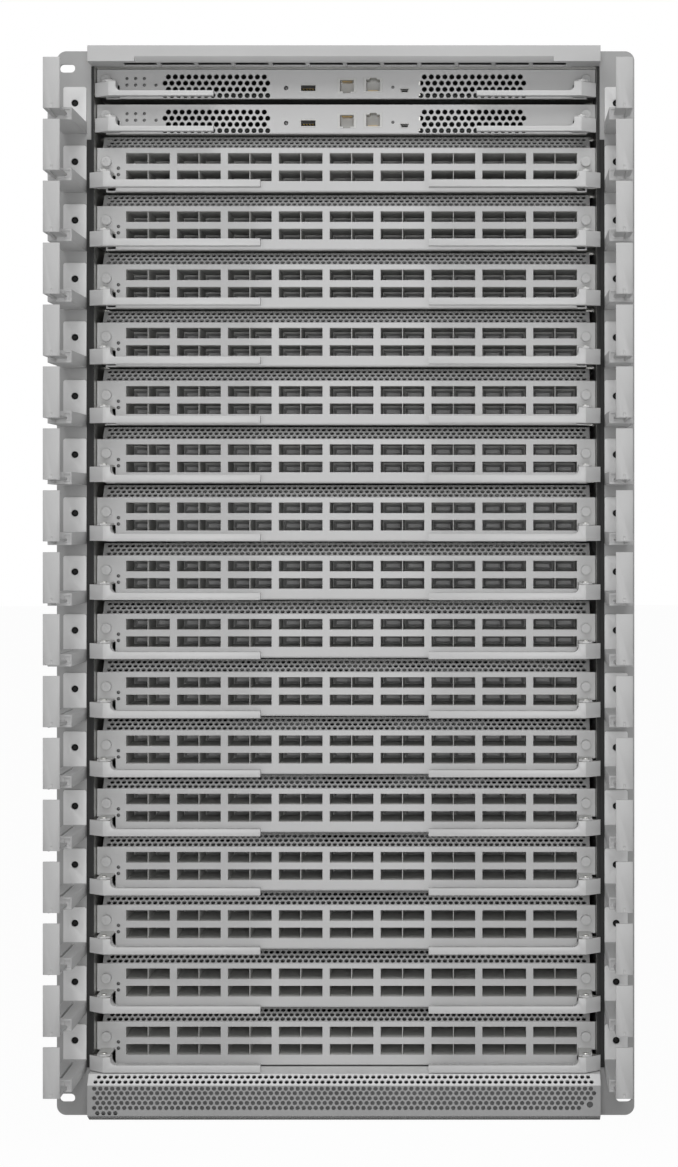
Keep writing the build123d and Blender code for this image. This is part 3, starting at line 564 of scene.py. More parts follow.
def copy_piece(piece, name, x=0.0, ahead=0.0, z=0.0):
    """A copy with its own mesh, moved in millimetres."""
    twin = bpy.data.objects.new(name, piece.data.copy())
    twin.data.name = name
    bpy.context.scene.collection.objects.link(twin)
    for vertex in twin.data.vertices:
        vertex.co += Vector((x, -ahead, z)) * MM
    return twin


print("finishing tools ready")

# %% [markdown]
# The line card. Its front is one folded sheet: a panel with eighteen bays for two ports each,
# and above it an air strip that slopes back at 45 degrees with three rows of holes. The holes
# are cut as real holes: one bar is repeated into three staggered rows and taken out of the
# sheet. The same cut makes the places of the two status lights and the cross slots of the
# captive screws.

# %% Line card sizes
CARD_COUNT = 16
CARD_PITCH = 48.92
FACE_AHEAD = -10.8
PANEL = 2.0
CARD_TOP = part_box("line_card_01_lever_right")[0].z / MM + 36.2
CARD_BOTTOM = CARD_TOP - 37.0
HOLE_PITCH = 4.87
HOLE_COUNT = 83
HOLE_RADIUS = 1.95
HOLE_RISES = (1.9, 5.0, 8.2)
BAY_PITCH, BAY_MIDDLE, BAY_DROPS = 42.75, 4.4, (8.7, 23.3)
BAY_SIZE = (36.8, 9.0)
BAY_DEPTH = 52.0
SCREW_X, SCREW_DROP, SCREW_RADIUS, SCREW_HEIGHT = 201.2, 12.0, 4.3, 5.0
LIGHT_X, LIGHT_DROPS, LIGHT_RADIUS = -191.4, (17.0, 22.3), 1.55
SINK_SLOT_COUNT, SINK_SLOT_PITCH, SINK_PITCH = 13, 6, 150
FIRST_SINK_SLOT, SINK_SLOT_SIZE = (-111, -304.4, 21.5), (3.2, 90, 14)
print("card top", round(CARD_TOP, 2))

# %% Line card front
card = merged_copy("line_card_01", "line_card_01_front")
hole_rows = []
for number, rise in enumerate(HOLE_RISES):
    first_x = -HOLE_PITCH * (HOLE_COUNT - 1 - number % 2) / 2
    row = bar("hole_row", (first_x, FACE_AHEAD - rise, CARD_TOP + rise), HOLE_RADIUS, 8, tilt=45)
    hole_rows.append(repeat(row, (HOLE_COUNT - number % 2, HOLE_PITCH, 0, 0)))
cut(card, join(*hole_rows))
light_places = bar(
    "light_places", (LIGHT_X, FACE_AHEAD, CARD_TOP - LIGHT_DROPS[0]), LIGHT_RADIUS, 3, sides=16
)
cut(card, repeat(light_places, (2, 0, 0, LIGHT_DROPS[0] - LIGHT_DROPS[1])))
sink_x, sink_ahead, sink_rise = FIRST_SINK_SLOT
sink_slot = block("sink_slots", (sink_x, sink_ahead, CARD_BOTTOM + sink_rise), SINK_SLOT_SIZE)
repeat(sink_slot, (SINK_SLOT_COUNT, SINK_SLOT_PITCH, 0, 0), (2, SINK_PITCH, 0, 0))
cut(card, sink_slot)
print("card faces", len(card.data.polygons))

# %% [markdown]
# Each finish goes to the faces in its own part of the card: the panel and strip are painted,
# the bays are plated cages, and behind them lie the zinc-plated tray, the black board, the
# heat sinks and the rear connectors.

# %% Line card finishes
paint(card, tray_zinc)
paint(card, panel_coat, lambda low, high: low.y > FACE_AHEAD - PANEL - 0.1)
# The air strip takes the darker chassis grey: painted shade from the card above.
paint(card, chassis_grey_and_shade, lambda low, high: low.z > CARD_TOP - PANEL - 0.5 and low.y > -25)
paint(
    card, cage_tin,
    lambda low, high: low.y > FACE_AHEAD - BAY_DEPTH - 1.5 and high.z < CARD_TOP - 3
    and low.z > CARD_BOTTOM + 8 and (high.y - low.y > 10 or high.y < FACE_AHEAD - 20),
)
paint(
    card, board_epoxy,
    lambda low, high: high.y < -62 and low.z > CARD_BOTTOM + 7.8 and high.z < CARD_BOTTOM + 9.8
    and high.x - low.x > 90,
)
paint(
    card, sink_aluminium,
    lambda low, high: high.y < -150 and low.y > -420 and high.z > CARD_BOTTOM + 12
    and high.x - low.x < 100,
)
paint(
    card, black_nylon,
    lambda low, high: high.y < -465 and high.z > CARD_BOTTOM + 12 and high.x - low.x < 100,
)
shade(card)
print("card finishes", [material.name for material in card.data.materials])

# %% [markdown]
# A thin upright wall halves each bay, one cage for each port. At the back of every port sits its
# connector with a slot for the module's edge; its pale grey is painted light.

# %% Port walls and connectors
WALL_WIDTH = 0.6
PORT_WIDTH = (BAY_SIZE[0] - WALL_WIDTH) / 2
bay_first_x = BAY_MIDDLE - 4 * BAY_PITCH

port_walls = block(
    "line_card_01_port_walls",
    (bay_first_x, FACE_AHEAD - BAY_DEPTH / 2 - 0.2, CARD_TOP - BAY_DROPS[0]),
    (WALL_WIDTH, BAY_DEPTH - 0.4, BAY_SIZE[1]),
)
edit(port_walls)
select_where(port_walls, "EDGE", lambda low, high: low.y > FACE_AHEAD - 1 and high.z - low.z > 1)
bpy.ops.mesh.bevel(offset=0.25 * MM, segments=1, affect="EDGES")
deselect()
repeat(port_walls, (9, BAY_PITCH, 0, 0), (2, 0, 0, BAY_DROPS[0] - BAY_DROPS[1]))
paint(port_walls, cage_tin)

connectors = block(
    "line_card_01_connectors",
    (
        bay_first_x - (PORT_WIDTH + WALL_WIDTH) / 2,
        FACE_AHEAD - BAY_DEPTH + 4,
        CARD_TOP - BAY_DROPS[0] - 0.6,
    ),
    (PORT_WIDTH - 3.4, 8, 6.0),
)
edit(connectors)
select_where(connectors, "FACE", lambda low, high: low.y > FACE_AHEAD - BAY_DEPTH + 7.9)
bpy.ops.mesh.inset(thickness=1.6 * MM)
bpy.ops.transform.translate(value=(0, 5 * MM, 0))
deselect()
repeat(
    connectors, (2, PORT_WIDTH + WALL_WIDTH, 0, 0), (9, BAY_PITCH, 0, 0),
    (2, 0, 0, BAY_DROPS[0] - BAY_DROPS[1]),
)
# The connectors are pale grey: painted light at the backs of the ports.
paint(connectors, connector_painted_light)
print("ports", 2 * 9 * 2)

# %% [markdown]
# The board carries rows of memory chips and can capacitors, which show when a card is drawn
# out. A chip is a block with a bevelled top, and a capacitor a can with a scored end.

# %% Chips and capacitors
BOARD_TOP = CARD_TOP - 29.0 + 1.6
CHIP_X, CHIP_AHEAD, CHIP_SIZE = -170, -120, (14, 20, 2.0)
CHIP_COLUMNS, CHIP_PITCH, CHIP_ROW_PITCH = 8, 48, 50
CAN_X, CAN_AHEAD, CAN_RADIUS, CAN_HEIGHT = -160, -420, 4, 10
CAN_COLUMNS, CAN_PITCH, CAN_GROUP_PITCH = 12, 12, 190

chips = block("line_card_01_chips", (CHIP_X, CHIP_AHEAD, BOARD_TOP + 0.8), CHIP_SIZE)
edit(chips)
select_where(chips, "FACE", lambda low, high: low.z > BOARD_TOP + 1.7)
bpy.ops.transform.resize(
    value=(0.93, 0.95, 1), center_override=point(CHIP_X, CHIP_AHEAD, BOARD_TOP)
)
deselect()
repeat(chips, (CHIP_COLUMNS, CHIP_PITCH, 0, 0), (2, 0, -CHIP_ROW_PITCH, 0))
paint(chips, black_nylon)
cans = bar(
    "line_card_01_capacitors", (CAN_X, CAN_AHEAD, BOARD_TOP + 4.5), CAN_RADIUS, CAN_HEIGHT,
    tilt=0, sides=16,
)
edit(cans)
select_where(cans, "FACE", lambda low, high: low.z > BOARD_TOP + 9.4)
bpy.ops.mesh.inset(thickness=0.6 * MM)
bpy.ops.transform.translate(value=(0, 0, -0.4 * MM))
deselect()
repeat(cans, (CAN_COLUMNS, CAN_PITCH, 0, 0), (2, CAN_GROUP_PITCH, 0, 0))
shade(paint(cans, sink_aluminium))
print("chips", 2 * CHIP_COLUMNS, "capacitors", 2 * CAN_COLUMNS)

# %% [markdown]
# The captive screws have round heads with a cross slot, and the status lights are short acrylic
# pipes with domed ends. The domes are made by shrinking and pulling out the end face of each bar
# twice.


# %% Screws and lights
def dome(piece, ahead, pulls):
    """Pulls the front end faces out in steps: each is a shrink and a move in millimetres."""
    edit(piece)
    select_where(piece, "FACE", lambda low, high: low.y > ahead - 0.01)
    for shrink, pull in pulls:
        bpy.ops.mesh.inset(thickness=shrink * MM, use_individual=True)
        bpy.ops.transform.translate(value=(0, -pull * MM, 0))
    deselect()
    return piece


def captive_screws(name, top, drop):
    """Two round screw heads over the ends of a panel."""
    middle = FACE_AHEAD + SCREW_HEIGHT / 2 + 0.2
    head = bar(name, (-SCREW_X, middle, top - drop), SCREW_RADIUS, SCREW_HEIGHT, sides=24)
    dome(head, middle + SCREW_HEIGHT / 2, [(0.5, 0.35), (0.6, 0.1)])
    for slot_size in ((4.6, 2.0, 0.9), (0.9, 2.0, 4.6)):
        cross = block("cross", (-SCREW_X, middle + SCREW_HEIGHT / 2, top - drop), slot_size)
        cut(head, cross)
    repeat(head, (2, 2 * SCREW_X, 0, 0))
    return shade(paint(head, panel_coat), 30)


card_screws = captive_screws("line_card_01_screws", CARD_TOP, SCREW_DROP)
card_lights = bar(
    "line_card_01_lights", (LIGHT_X, FACE_AHEAD - 1.4, CARD_TOP - LIGHT_DROPS[0]),
    LIGHT_RADIUS - 0.1, 2, sides=16,
)
dome(card_lights, FACE_AHEAD - 0.4, [(0.4, 0.15), (0.5, 0.1)])
repeat(card_lights, (2, 0, 0, LIGHT_DROPS[0] - LIGHT_DROPS[1]))
shade(paint(card_lights, lens_plastic), 50)
print("screw faces", len(card_screws.data.polygons))

# %% [markdown]
# All sixteen line cards are alike, so the dressed pieces of the first are copied down the
# cage at the pitch of the slots. Each copy rides on its own module.

# %% Sixteen line cards
card_pieces = {
    "front": (card, "grey_paint"),
    "port_walls": (port_walls, "grey_paint"),
    "connectors": (connectors, "grey_plastic"),
    "screws": (card_screws, "zinc_plate"),
    "lights": (card_lights, "grey_plastic"),
    "chips": (chips, "grey_plastic"),
    "capacitors": (cans, "zinc_plate"),
}
for number in range(2, CARD_COUNT + 1):
    for part, (piece, slot_name) in card_pieces.items():
        drop = -CARD_PITCH * (number - 1)
        twin = copy_piece(piece, f"line_card_{number:02d}_{part}", z=drop)
        stands_for = [f"line_card_{number:02d}"] if part == "front" else []
        mount(twin, f"line_card_{number:02d}", slot_name, *stands_for)
for part, (piece, slot_name) in card_pieces.items():
    mount(piece, "line_card_01", slot_name, *(["line_card_01"] if part == "front" else []))
print("line card pieces", CARD_COUNT * len(card_pieces))

# %% [markdown]
# The supervisor modules. The panel has two fields of round vents in four staggered rows, six
# status lights in two rows with one more beside them, and in the middle a reset hole and four
# sockets.

# %% Supervisor front
SUPERVISOR_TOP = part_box("supervisor_1_lever_right")[0].z / MM + 25.2
SUPERVISOR_BOTTOM = SUPERVISOR_TOP - 24.7
SUPERVISOR_PITCH = 29.5
VENT_DROPS = (6.2, 11.4, 16.6, 21.8)
VENT_MIDDLE, VENT_PITCH, VENT_RADIUS, VENT_FIELD_MOVE = -109.15, 5.75, 2.2, 215.0
STATUS_FIRST = (-184.2, 7.6)
STATUS_PITCH = (7.3, 5.5)
STATUS_RADIUS = 1.4
EXTRA_LIGHTS = ((-159.8, 13.1), (39.1, 14.8))
RESET_HOLE = (-50.6, 15.5)

supervisor = merged_copy("supervisor_1", "supervisor_1_front")
vent_rows = []
for number, drop in enumerate(VENT_DROPS):
    count = 15 + number % 2
    first_x = VENT_MIDDLE - VENT_PITCH * (count - 1) / 2
    row = bar("vent", (first_x, FACE_AHEAD, SUPERVISOR_TOP - drop), VENT_RADIUS, 4.4, sides=12)
    vent_rows.append(repeat(row, (count, VENT_PITCH, 0, 0), (2, VENT_FIELD_MOVE, 0, 0)))
cut(supervisor, join(*vent_rows))
light_x, light_drop = STATUS_FIRST
lights = bar(
    "lights", (light_x, FACE_AHEAD, SUPERVISOR_TOP - light_drop), STATUS_RADIUS, 3, sides=16
)
repeat(lights, (3, STATUS_PITCH[0], 0, 0), (2, 0, 0, -STATUS_PITCH[1]))
places = [lights]
for x, drop in EXTRA_LIGHTS:
    places.append(bar("light", (x, FACE_AHEAD, SUPERVISOR_TOP - drop), STATUS_RADIUS, 3, sides=16))
reset_x, reset_drop = RESET_HOLE
places.append(bar("reset", (reset_x, FACE_AHEAD, SUPERVISOR_TOP - reset_drop), 1.9, 7, sides=20))
cut(supervisor, join(*places))
paint(supervisor, tray_zinc)
paint(supervisor, panel_coat, lambda low, high: low.y > FACE_AHEAD - PANEL - 0.1)
paint(
    supervisor, board_epoxy,
    lambda low, high: high.y < -26 and low.z > SUPERVISOR_BOTTOM + 4.4
    and high.z < SUPERVISOR_BOTTOM + 6.2 and high.x - low.x > 60,
)
paint(
    supervisor, sink_aluminium,
    lambda low, high: high.y < -150 and low.y > -420 and high.z > SUPERVISOR_BOTTOM + 10
    and high.x - low.x < 80,
)
shade(supervisor)
print("supervisor faces", len(supervisor.data.polygons))

# %% [markdown]
# Sockets of the supervisor. Each is a plated steel liner pressed into the socket block with a
# narrow flange on the panel. The two network sockets have a notch for the latch of the plug
# and eight gold-plated springs. The storage socket has a tongue with flat contacts.

# %% Supervisor sockets
# Gold plate on spring bronze: a warm glint inside the dark socket.
contact_gold = rolled_metal("gold_plated_contact", "#D9B35A", "#C9A24C", 0.3, 0.4, "Y")
LINER_FLANGE = 0.4
LINER_DEPTH = 13.8
NETWORK_X, CONSOLE_X, STORAGE_X, SERVICE_X = 0.5, 22.4, -32.0, 48.9
PLUG_FLANGE, PLUG_ROOM, LATCH_SIZE = (16.2, 12.6), (11.7, 9.7), (6, 14, 2.0)


def liner(name, x, drop, outer, inner, depth):
    """A liner with a flange on the panel, open to the front."""
    middle = FACE_AHEAD + (LINER_FLANGE - depth) / 2
    z = SUPERVISOR_TOP - drop
    shell = block(name, (x, middle, z), (outer[0], depth + LINER_FLANGE, outer[1]))
    cut(shell, block("room", (x, middle + 0.5, z), (inner[0], depth + LINER_FLANGE, inner[1])))
    return shell


network = liner("supervisor_1_liners", NETWORK_X, 13.5, PLUG_FLANGE, PLUG_ROOM, LINER_DEPTH)
cut(network, block("latch", (NETWORK_X, FACE_AHEAD - 6, SUPERVISOR_TOP - 18.9), LATCH_SIZE))
console = liner("console", CONSOLE_X, 13.2, (16.0, 12.6), PLUG_ROOM, LINER_DEPTH)
cut(console, block("latch", (CONSOLE_X, FACE_AHEAD - 6, SUPERVISOR_TOP - 7.8), LATCH_SIZE))
storage = liner("storage", STORAGE_X, 15.6, (14.2, 6.9), (12.2, 4.9), LINER_DEPTH)
service = liner("service", SERVICE_X, 17.6, (8.4, 4.2), (7.0, 2.9), 8)
liners = join(network, console, storage, service)
round_edges(liners, 0.15, segments=1)
shade(paint(liners, cage_tin))

spring = block("supervisor_1_springs", (-3.2, FACE_AHEAD - 8, SUPERVISOR_TOP - 9.6), (0.5, 8, 0.35))
edit(spring)
select_where(spring, "FACE", lambda low, high: low.y > FACE_AHEAD - 4.1)
bpy.ops.transform.translate(value=(0, 0, 0.4 * MM))
deselect()
springs = repeat(spring, (8, 1.05, 0, 0))
upper = copy_piece(springs, "console_springs", x=22.0, z=-7.9)
storage_pads = block("pads", (-36.0, FACE_AHEAD - 7, SUPERVISOR_TOP - 16.0), (1.2, 8, 0.2))
edit(storage_pads)
select_where(storage_pads, "EDGE", lambda low, high: high.y - low.y > 1)
bpy.ops.mesh.bevel(offset=0.04 * MM, segments=1, affect="EDGES")
deselect()
repeat(storage_pads, (4, 2.6, 0, 0))
springs = paint(join(springs, upper, storage_pads), contact_gold)

tongue = block(
    "supervisor_1_tongues", (STORAGE_X, FACE_AHEAD - 7.5, SUPERVISOR_TOP - 15.3), (11.2, 11, 1.2)
)
service_tongue = block("tongue", (SERVICE_X, FACE_AHEAD - 4, SUPERVISOR_TOP - 17.8), (4.4, 5, 0.9))
tongue = round_edges(join(tongue, service_tongue), 0.2, segments=1)
paint(tongue, black_nylon)
reset_button = bar(
    "supervisor_1_reset", (reset_x, FACE_AHEAD - 2.4, SUPERVISOR_TOP - reset_drop), 1.5, 2, sides=20
)
dome(reset_button, FACE_AHEAD - 1.4, [(0.4, 0.15)])
shade(paint(reset_button, lens_plastic))
print("sockets", 4, "springs", 16)

# %% [markdown]
# The supervisor's lights and screws are like the line card's, and the second supervisor is a
# copy of the first one slot lower.

# %% Two supervisors
pipe = bar(
    "supervisor_1_lights", (light_x, FACE_AHEAD - 1.4, SUPERVISOR_TOP - light_drop),
    STATUS_RADIUS - 0.08, 2, sides=16,
)
repeat(pipe, (3, STATUS_PITCH[0], 0, 0), (2, 0, 0, -STATUS_PITCH[1]))
pipes = [pipe]
for x, drop in EXTRA_LIGHTS:
    place_ahead = (x, FACE_AHEAD - 1.4, SUPERVISOR_TOP - drop)
    pipes.append(bar("light", place_ahead, STATUS_RADIUS - 0.08, 2, sides=16))
supervisor_lights = dome(join(*pipes), FACE_AHEAD - 0.4, [(0.4, 0.12)])
shade(paint(supervisor_lights, lens_plastic), 50)
supervisor_screws = captive_screws("supervisor_1_screws", SUPERVISOR_TOP, 9.0)

supervisor_pieces = {
    "front": (supervisor, "grey_paint"),
    "liners": (liners, "zinc_plate"),
    "springs": (springs, "zinc_plate"),
    "tongues": (tongue, "grey_plastic"),
    "reset": (reset_button, "grey_plastic"),
    "lights": (supervisor_lights, "grey_plastic"),
    "screws": (supervisor_screws, "zinc_plate"),
}
for part, (piece, slot_name) in supervisor_pieces.items():
    twin = copy_piece(piece, f"supervisor_2_{part}", z=-SUPERVISOR_PITCH)
    mount(twin, "supervisor_2", slot_name, *(["supervisor_2"] if part == "front" else []))
    mount(piece, "supervisor_1", slot_name, *(["supervisor_1"] if part == "front" else []))
print("supervisor pieces", 2 * len(supervisor_pieces))

# %% [markdown]
# The ejector levers are zinc castings, painted like the panels. Their edges are rounded, and a pale
# strip along the top edge of each bar is a painted highlight. The pin is bare metal. Each of the
# four kinds is shaped once and copied to every module that carries it.


# %% Ejector levers
def dress_levers(kind, count, pitch, hub_top, bar_top):
    """Shapes the left and right lever of the first module and copies them to the others."""
    for side in ("left", "right"):
        name = kind.format(1) + f"_lever_{side}"
        lever = merged_copy(name, name + "_casting")
        round_edges(lever, 0.7)
        paint(lever, lever_coat)
        # A pale strip along the top edge of the bar: painted highlight.
        paint(
            lever, lever_painted_highlight,
            lambda low, high: bar_top - 0.8 < low.z < high.z < bar_top + 0.1,
        )
        paint(lever, screw_zinc, lambda low, high: low.z > hub_top - 0.2)
        shade(lever, 45)
        for number in range(2, count + 1):
            body = kind.format(number) + f"_lever_{side}"
            twin = copy_piece(lever, body + "_casting", z=-pitch * (number - 1))
            mount(twin, body, "lever_paint", body)
        mount(lever, name, "lever_paint", name)
    print(kind.format(1), "lever faces", len(lever.data.polygons))


dress_levers("line_card_{:02d}", CARD_COUNT, CARD_PITCH, CARD_TOP - 23.5, CARD_TOP - 30.4)
dress_levers("supervisor_{}", 2, SUPERVISOR_PITCH, SUPERVISOR_TOP - 13.6, SUPERVISOR_TOP - 21.2)

# %% [markdown]
# The cable brackets are mouldings that are screwed to the rack ears. One is shaped from the
# solid: a round hole with a dark screw in it, a small pin mark low on the finger, a shallow
# recess in the end of the arm, a rib under the tongue, and rounded corners and edges. It is
# copied down the ear, and mirrored for the other ear.

# %% One cable bracket
BRACKET_COUNT = 17
BRACKET_X, BRACKET_TOP = 226.0, 845.4
FINGER_X, FINGER_AHEAD, FINGER_BOTTOM = 226.4, 118.0, 822.9

bracket = merged_copy(
    "cable_brackets", "cable_bracket_right_01", lambda low, high: low.x > 200 and low.z > 815
)
cut(bracket, bar("hole", (BRACKET_X, 1, BRACKET_TOP), 2.95, 6, sides=28))
cut(bracket, block("pin_mark", (FINGER_X, FINGER_AHEAD, FINGER_BOTTOM + 2.6), (1.8, 1.2, 2.6)))
cut(bracket, block("end_recess", (BRACKET_X - 6.2, 80, FINGER_BOTTOM + 2), (4.5, 2, 6)))
edit(bracket)
select_where(
    bracket, "EDGE",
    lambda low, high: low.z > BRACKET_TOP + 13 and high.y < 2.1 and high.y - low.y > 1.9,
)
bpy.ops.mesh.bevel(offset=2 * MM, segments=4, affect="EDGES")
deselect()
round_edges(bracket, 0.45, angle=30)
rib = block("rib", (FINGER_X + 2.6, 98, FINGER_BOTTOM - 1.0), (1.6, 35, 2.4))
edit(rib)
select_where(rib, "EDGE", lambda low, high: high.z < FINGER_BOTTOM - 2 and low.y > 98)
bpy.ops.transform.translate(value=(0, 0, 1.6 * MM))
deselect()
round_edges(rib, 0.3, segments=1)
bracket = join(bracket, rib)
paint(bracket, bracket_abs)
# The base is painted paler than the rest of the bracket: painted light.
paint(bracket, bracket_base_painted_light, lambda low, high: high.y < 2.1)
shade(bracket, 40)
bracket_screw = bar("bracket_screw_right_01", (BRACKET_X, 0.7, BRACKET_TOP), 2.6, 1.2, sides=20)
edit(bracket_screw)
select_where(bracket_screw, "FACE", lambda low, high: low.y > 1.29)
bpy.ops.mesh.inset(thickness=0.9 * MM)
bpy.ops.transform.translate(value=(0, 0.8 * MM, 0))
deselect()
# Black oxide: a dark metal with a weak, oily sheen. The dark screw sits in the bracket's hole
# partly as painted shade, so the hole looks dark.
oxide_black_and_shade = rolled_metal("screw_oxide_black_and_painted_shade", "#2A2A2A", "#202020", 0.45, 0.3, "X")
shade(paint(bracket_screw, oxide_black_and_shade), 30)
print("bracket faces", len(bracket.data.polygons))


# %% [markdown]
# Thirty-four brackets. The mirrored ones have their faces turned outward again.

# %% Brackets on both ears
def mirrored_copy(piece, name, z=0.0):
    """A copy on the other side of the middle, with its faces turned outward again."""
    twin = copy_piece(piece, name, z=z)
    for vertex in twin.data.vertices:
        vertex.co.x = -vertex.co.x
    twin.data.flip_normals()
    return twin


for number in range(BRACKET_COUNT):
    drop = -CARD_PITCH * number
    for piece, kind, slot_name in (
        (bracket, "cable_bracket", "grey_plastic"), (bracket_screw, "bracket_screw", "zinc_plate")
    ):
        stands_for = ["cable_brackets"] if kind == "cable_bracket" else []
        left = mirrored_copy(piece, f"{kind}_left_{number + 1:02d}", z=drop)
        mount(left, "chassis", slot_name, *stands_for)
        if number:
            right = copy_piece(piece, f"{kind}_right_{number + 1:02d}", z=drop)
            mount(right, "chassis", slot_name, *stands_for)
mount(bracket, "chassis", "grey_plastic", "cable_brackets")
mount(bracket_screw, "chassis", "zinc_plate")
print("brackets", 2 * BRACKET_COUNT)

# %% [markdown]
# The chassis is flat sheet steel. Its four kinds of sheet are taken out of the solid by where their
# faces lie, so that each can have rounded edges: the rack ears, the side skins, the base with the
# cover, and the card cage. Where a sheet lost an end to the sheet that it meets, the end is filled
# again. The front edges of the cage walls are painted nearly black, and a nearly black strip stands
# between the cage and the brackets on each ear: both are painted shade of the narrow gaps.


# %% Chassis sheets
def apart(low, high):
    """The smallest distance of a face from the middle, sideways."""
    return max(low.x, -high.x)


def is_ear(low, high):
    """Faces of the rack ears, without the ends of the sheets that meet them."""
    skin_end = apart(low, high) > 219.4 and max(high.x, -low.x) < 221.1
    tongue_side = high.x - low.x < 0.01 and high.z - low.z < 1.6 and apart(low, high) < 212.2
    wall_side = high.x - low.x < 0.01 and low.y > -0.01
    outside = apart(low, high) > 212.0 and low.y > -3.05
    return outside and not (skin_end or tongue_side or wall_side)


def is_skin(low, high):
    """Faces of the side skins, without the sides of the base and cover that meet them."""
    cover_side = high.x - low.x < 0.01 and high.z - low.z < 1.6 and apart(low, high) < 219.6
    return apart(low, high) > 219.4 and max(high.x, -low.x) < 221.1 and not cover_side


def is_cover(low, high):
    """Faces of the base and cover, without the ends of the walls that meet them."""
    level = low.z > 887.4 or high.z < 1.6
    inner = high.z - low.z < 0.01 and (abs(low.z - 887.5) < 0.1 or abs(low.z - 1.5) < 0.1)
    wall_end = inner and (high.x - low.x < 2.4 or high.y - low.y < 1.6)
    return level and not (wall_end or is_ear(low, high) or is_skin(low, high))


def is_cage(low, high):
    """Faces of the cage walls, plates, mid wall, shelves and guides."""
    return not (is_ear(low, high) or is_skin(low, high) or is_cover(low, high))


sheets = {
    "rack_ears": is_ear, "side_skins": is_skin, "base_and_cover": is_cover, "card_cage": is_cage,
}
for name, test in sheets.items():
    sheet = merged_copy("chassis_frame", name, test)
    edit(sheet)
    bpy.ops.mesh.select_all(action="SELECT")
    bpy.ops.mesh.fill_holes(sides=0)
    deselect()
    open_edges = [count for count in edge_uses(sheet) if count != 2]
    print(name, len(sheet.data.polygons), "faces", len(open_edges), "edges not shared by two")
    if name == "card_cage":
        paint(sheet, tray_zinc)
        # The front edges of the cage are painted nearly black: painted shade of the gaps beside the
        # panels.
        paint(sheet, dark_cloth_painted_shade, lambda low, high: low.y > -9)
    else:
        round_edges(sheet, 0.3)
        edit(sheet)
        bpy.ops.mesh.select_all(action="SELECT")
        bpy.ops.mesh.remove_doubles(threshold=0.00001)
        deselect()
        # The chassis grey is partly painted shade on the rack ears.
        paint(sheet, chassis_grey_and_shade)
    shade(sheet, 20)
    mount(sheet, "chassis", "grey_paint", "chassis_frame")

# A nearly black strip on each ear between the cage and the brackets: painted shade.
ear_shade_strip = block("ear_painted_shade_strip", (214.2, 0.5, 427.5), (4.0, 1.0, 775))
edit(ear_shade_strip)
select_where(ear_shade_strip, "EDGE", lambda low, high: high.z - low.z > 100 and low.y > 0.9)
bpy.ops.mesh.bevel(offset=0.4 * MM, segments=2, affect="EDGES")
deselect()
paint(repeat(ear_shade_strip, (2, -428.4, 0, 0)), dark_cloth_painted_shade)
mount(shade(ear_shade_strip), "chassis", "grey_plastic")

# %% [markdown]
# The top visor and the bottom air intake are folded sheets. The intake's front has five
# staggered rows of holes, its 45 degree slope two and its lower chamfer two, and a grey foam
# filter stands behind them.

# %% Visor and intake
INTAKE_PITCH = 4.936
INTAKE_RADIUS = 1.85
INTAKE_ROWS = (
    (28.1, -205.9, 84), (24.4, -203.4, 84), (20.2, -205.9, 84), (16.3, -203.4, 82),
    (12.2, -205.9, 82), (7.9, -203.4, 4),
)
SLOPE_ROWS = ((33.2, 25.1, -205.3, 84), (36.6, 21.7, -203.0, 83))
CHAMFER_ROWS = ((3.9, 24.3, -203.4, 83), (1.9, 20.3, -205.9, 83))

visor = merged_copy("top_visor", "top_visor_cap")
round_edges(visor, 0.35)
shade(paint(visor, visor_coat), 20)
mount(visor, "chassis", "grey_paint", "top_visor")

intake = merged_copy("air_intake", "air_intake_tray")
holes = []
for z, first_x, count in INTAKE_ROWS:
    row = bar("row", (first_x, 27.6, z), INTAKE_RADIUS, 6, sides=10)
    holes.append(repeat(row, (count, INTAKE_PITCH, 0, 0)))
for z, depth, first_x, count in SLOPE_ROWS:
    row = bar("row", (first_x, depth, z), INTAKE_RADIUS, 6, tilt=45, sides=10)
    holes.append(repeat(row, (count, INTAKE_PITCH, 0, 0)))
for z, depth, first_x, count in CHAMFER_ROWS:
    row = bar("row", (first_x, depth, z), INTAKE_RADIUS, 6, tilt=153, sides=10)
    holes.append(repeat(row, (count, INTAKE_PITCH, 0, 0)))
cut(intake, join(*holes))
paint(intake, intake_coat)
# The slope and shelf are painted nearly white: painted highlight.
paint(intake, shelf_painted_highlight, lambda low, high: low.z > 30.5)
shade(intake)
mount(intake, "chassis", "grey_paint", "air_intake")

# Open-cell foam: grey, without gloss, with coarse pits.
foam_grey = moulded("reticulated_filter_foam", "#8A8A8A", "#7C7C7C", 0.9, 1.6)
filter_pad = block("air_intake_filter", (0, 20, 18), (416, 6, 24))
edit(filter_pad)
select_where(filter_pad, "FACE", lambda low, high: low.y > 22.9)
bpy.ops.mesh.inset(thickness=2 * MM)
bpy.ops.transform.translate(value=(0, -1 * MM, 0))
deselect()
round_edges(filter_pad, 0.8)
shade(paint(filter_pad, foam_grey))
mount(filter_pad, "chassis", "grey_plastic")
print("intake faces", len(intake.data.polygons), "visor faces", len(visor.data.polygons))

# %% [markdown]
# The back. Twelve fans stand in three trays, each with a wire guard of four rings on two
# crossed wires and a rotor with a hub and seven twisted blades. One fan is shaped and copied.


# %% Fans
REAR = -835.0
FAN_MIDDLE_Z, FAN_PITCH, FAN_TRAY_PITCH = 549.95, 156.5, 139.867


def around(piece, count, x, z):
    """The piece and its copies turned around a point, as seen from the front, joined."""
    twins = [piece]
    for number in range(1, count):
        twin = copy_piece(piece, piece.name + "_turned")
        turn = Matrix.Rotation(math.tau * number / count, 4, "Y")
        middle = Matrix.Translation(point(x, 0, z))
        twin.data.transform(middle @ turn @ middle.inverted())
        twins.append(twin)
    return join(*twins)


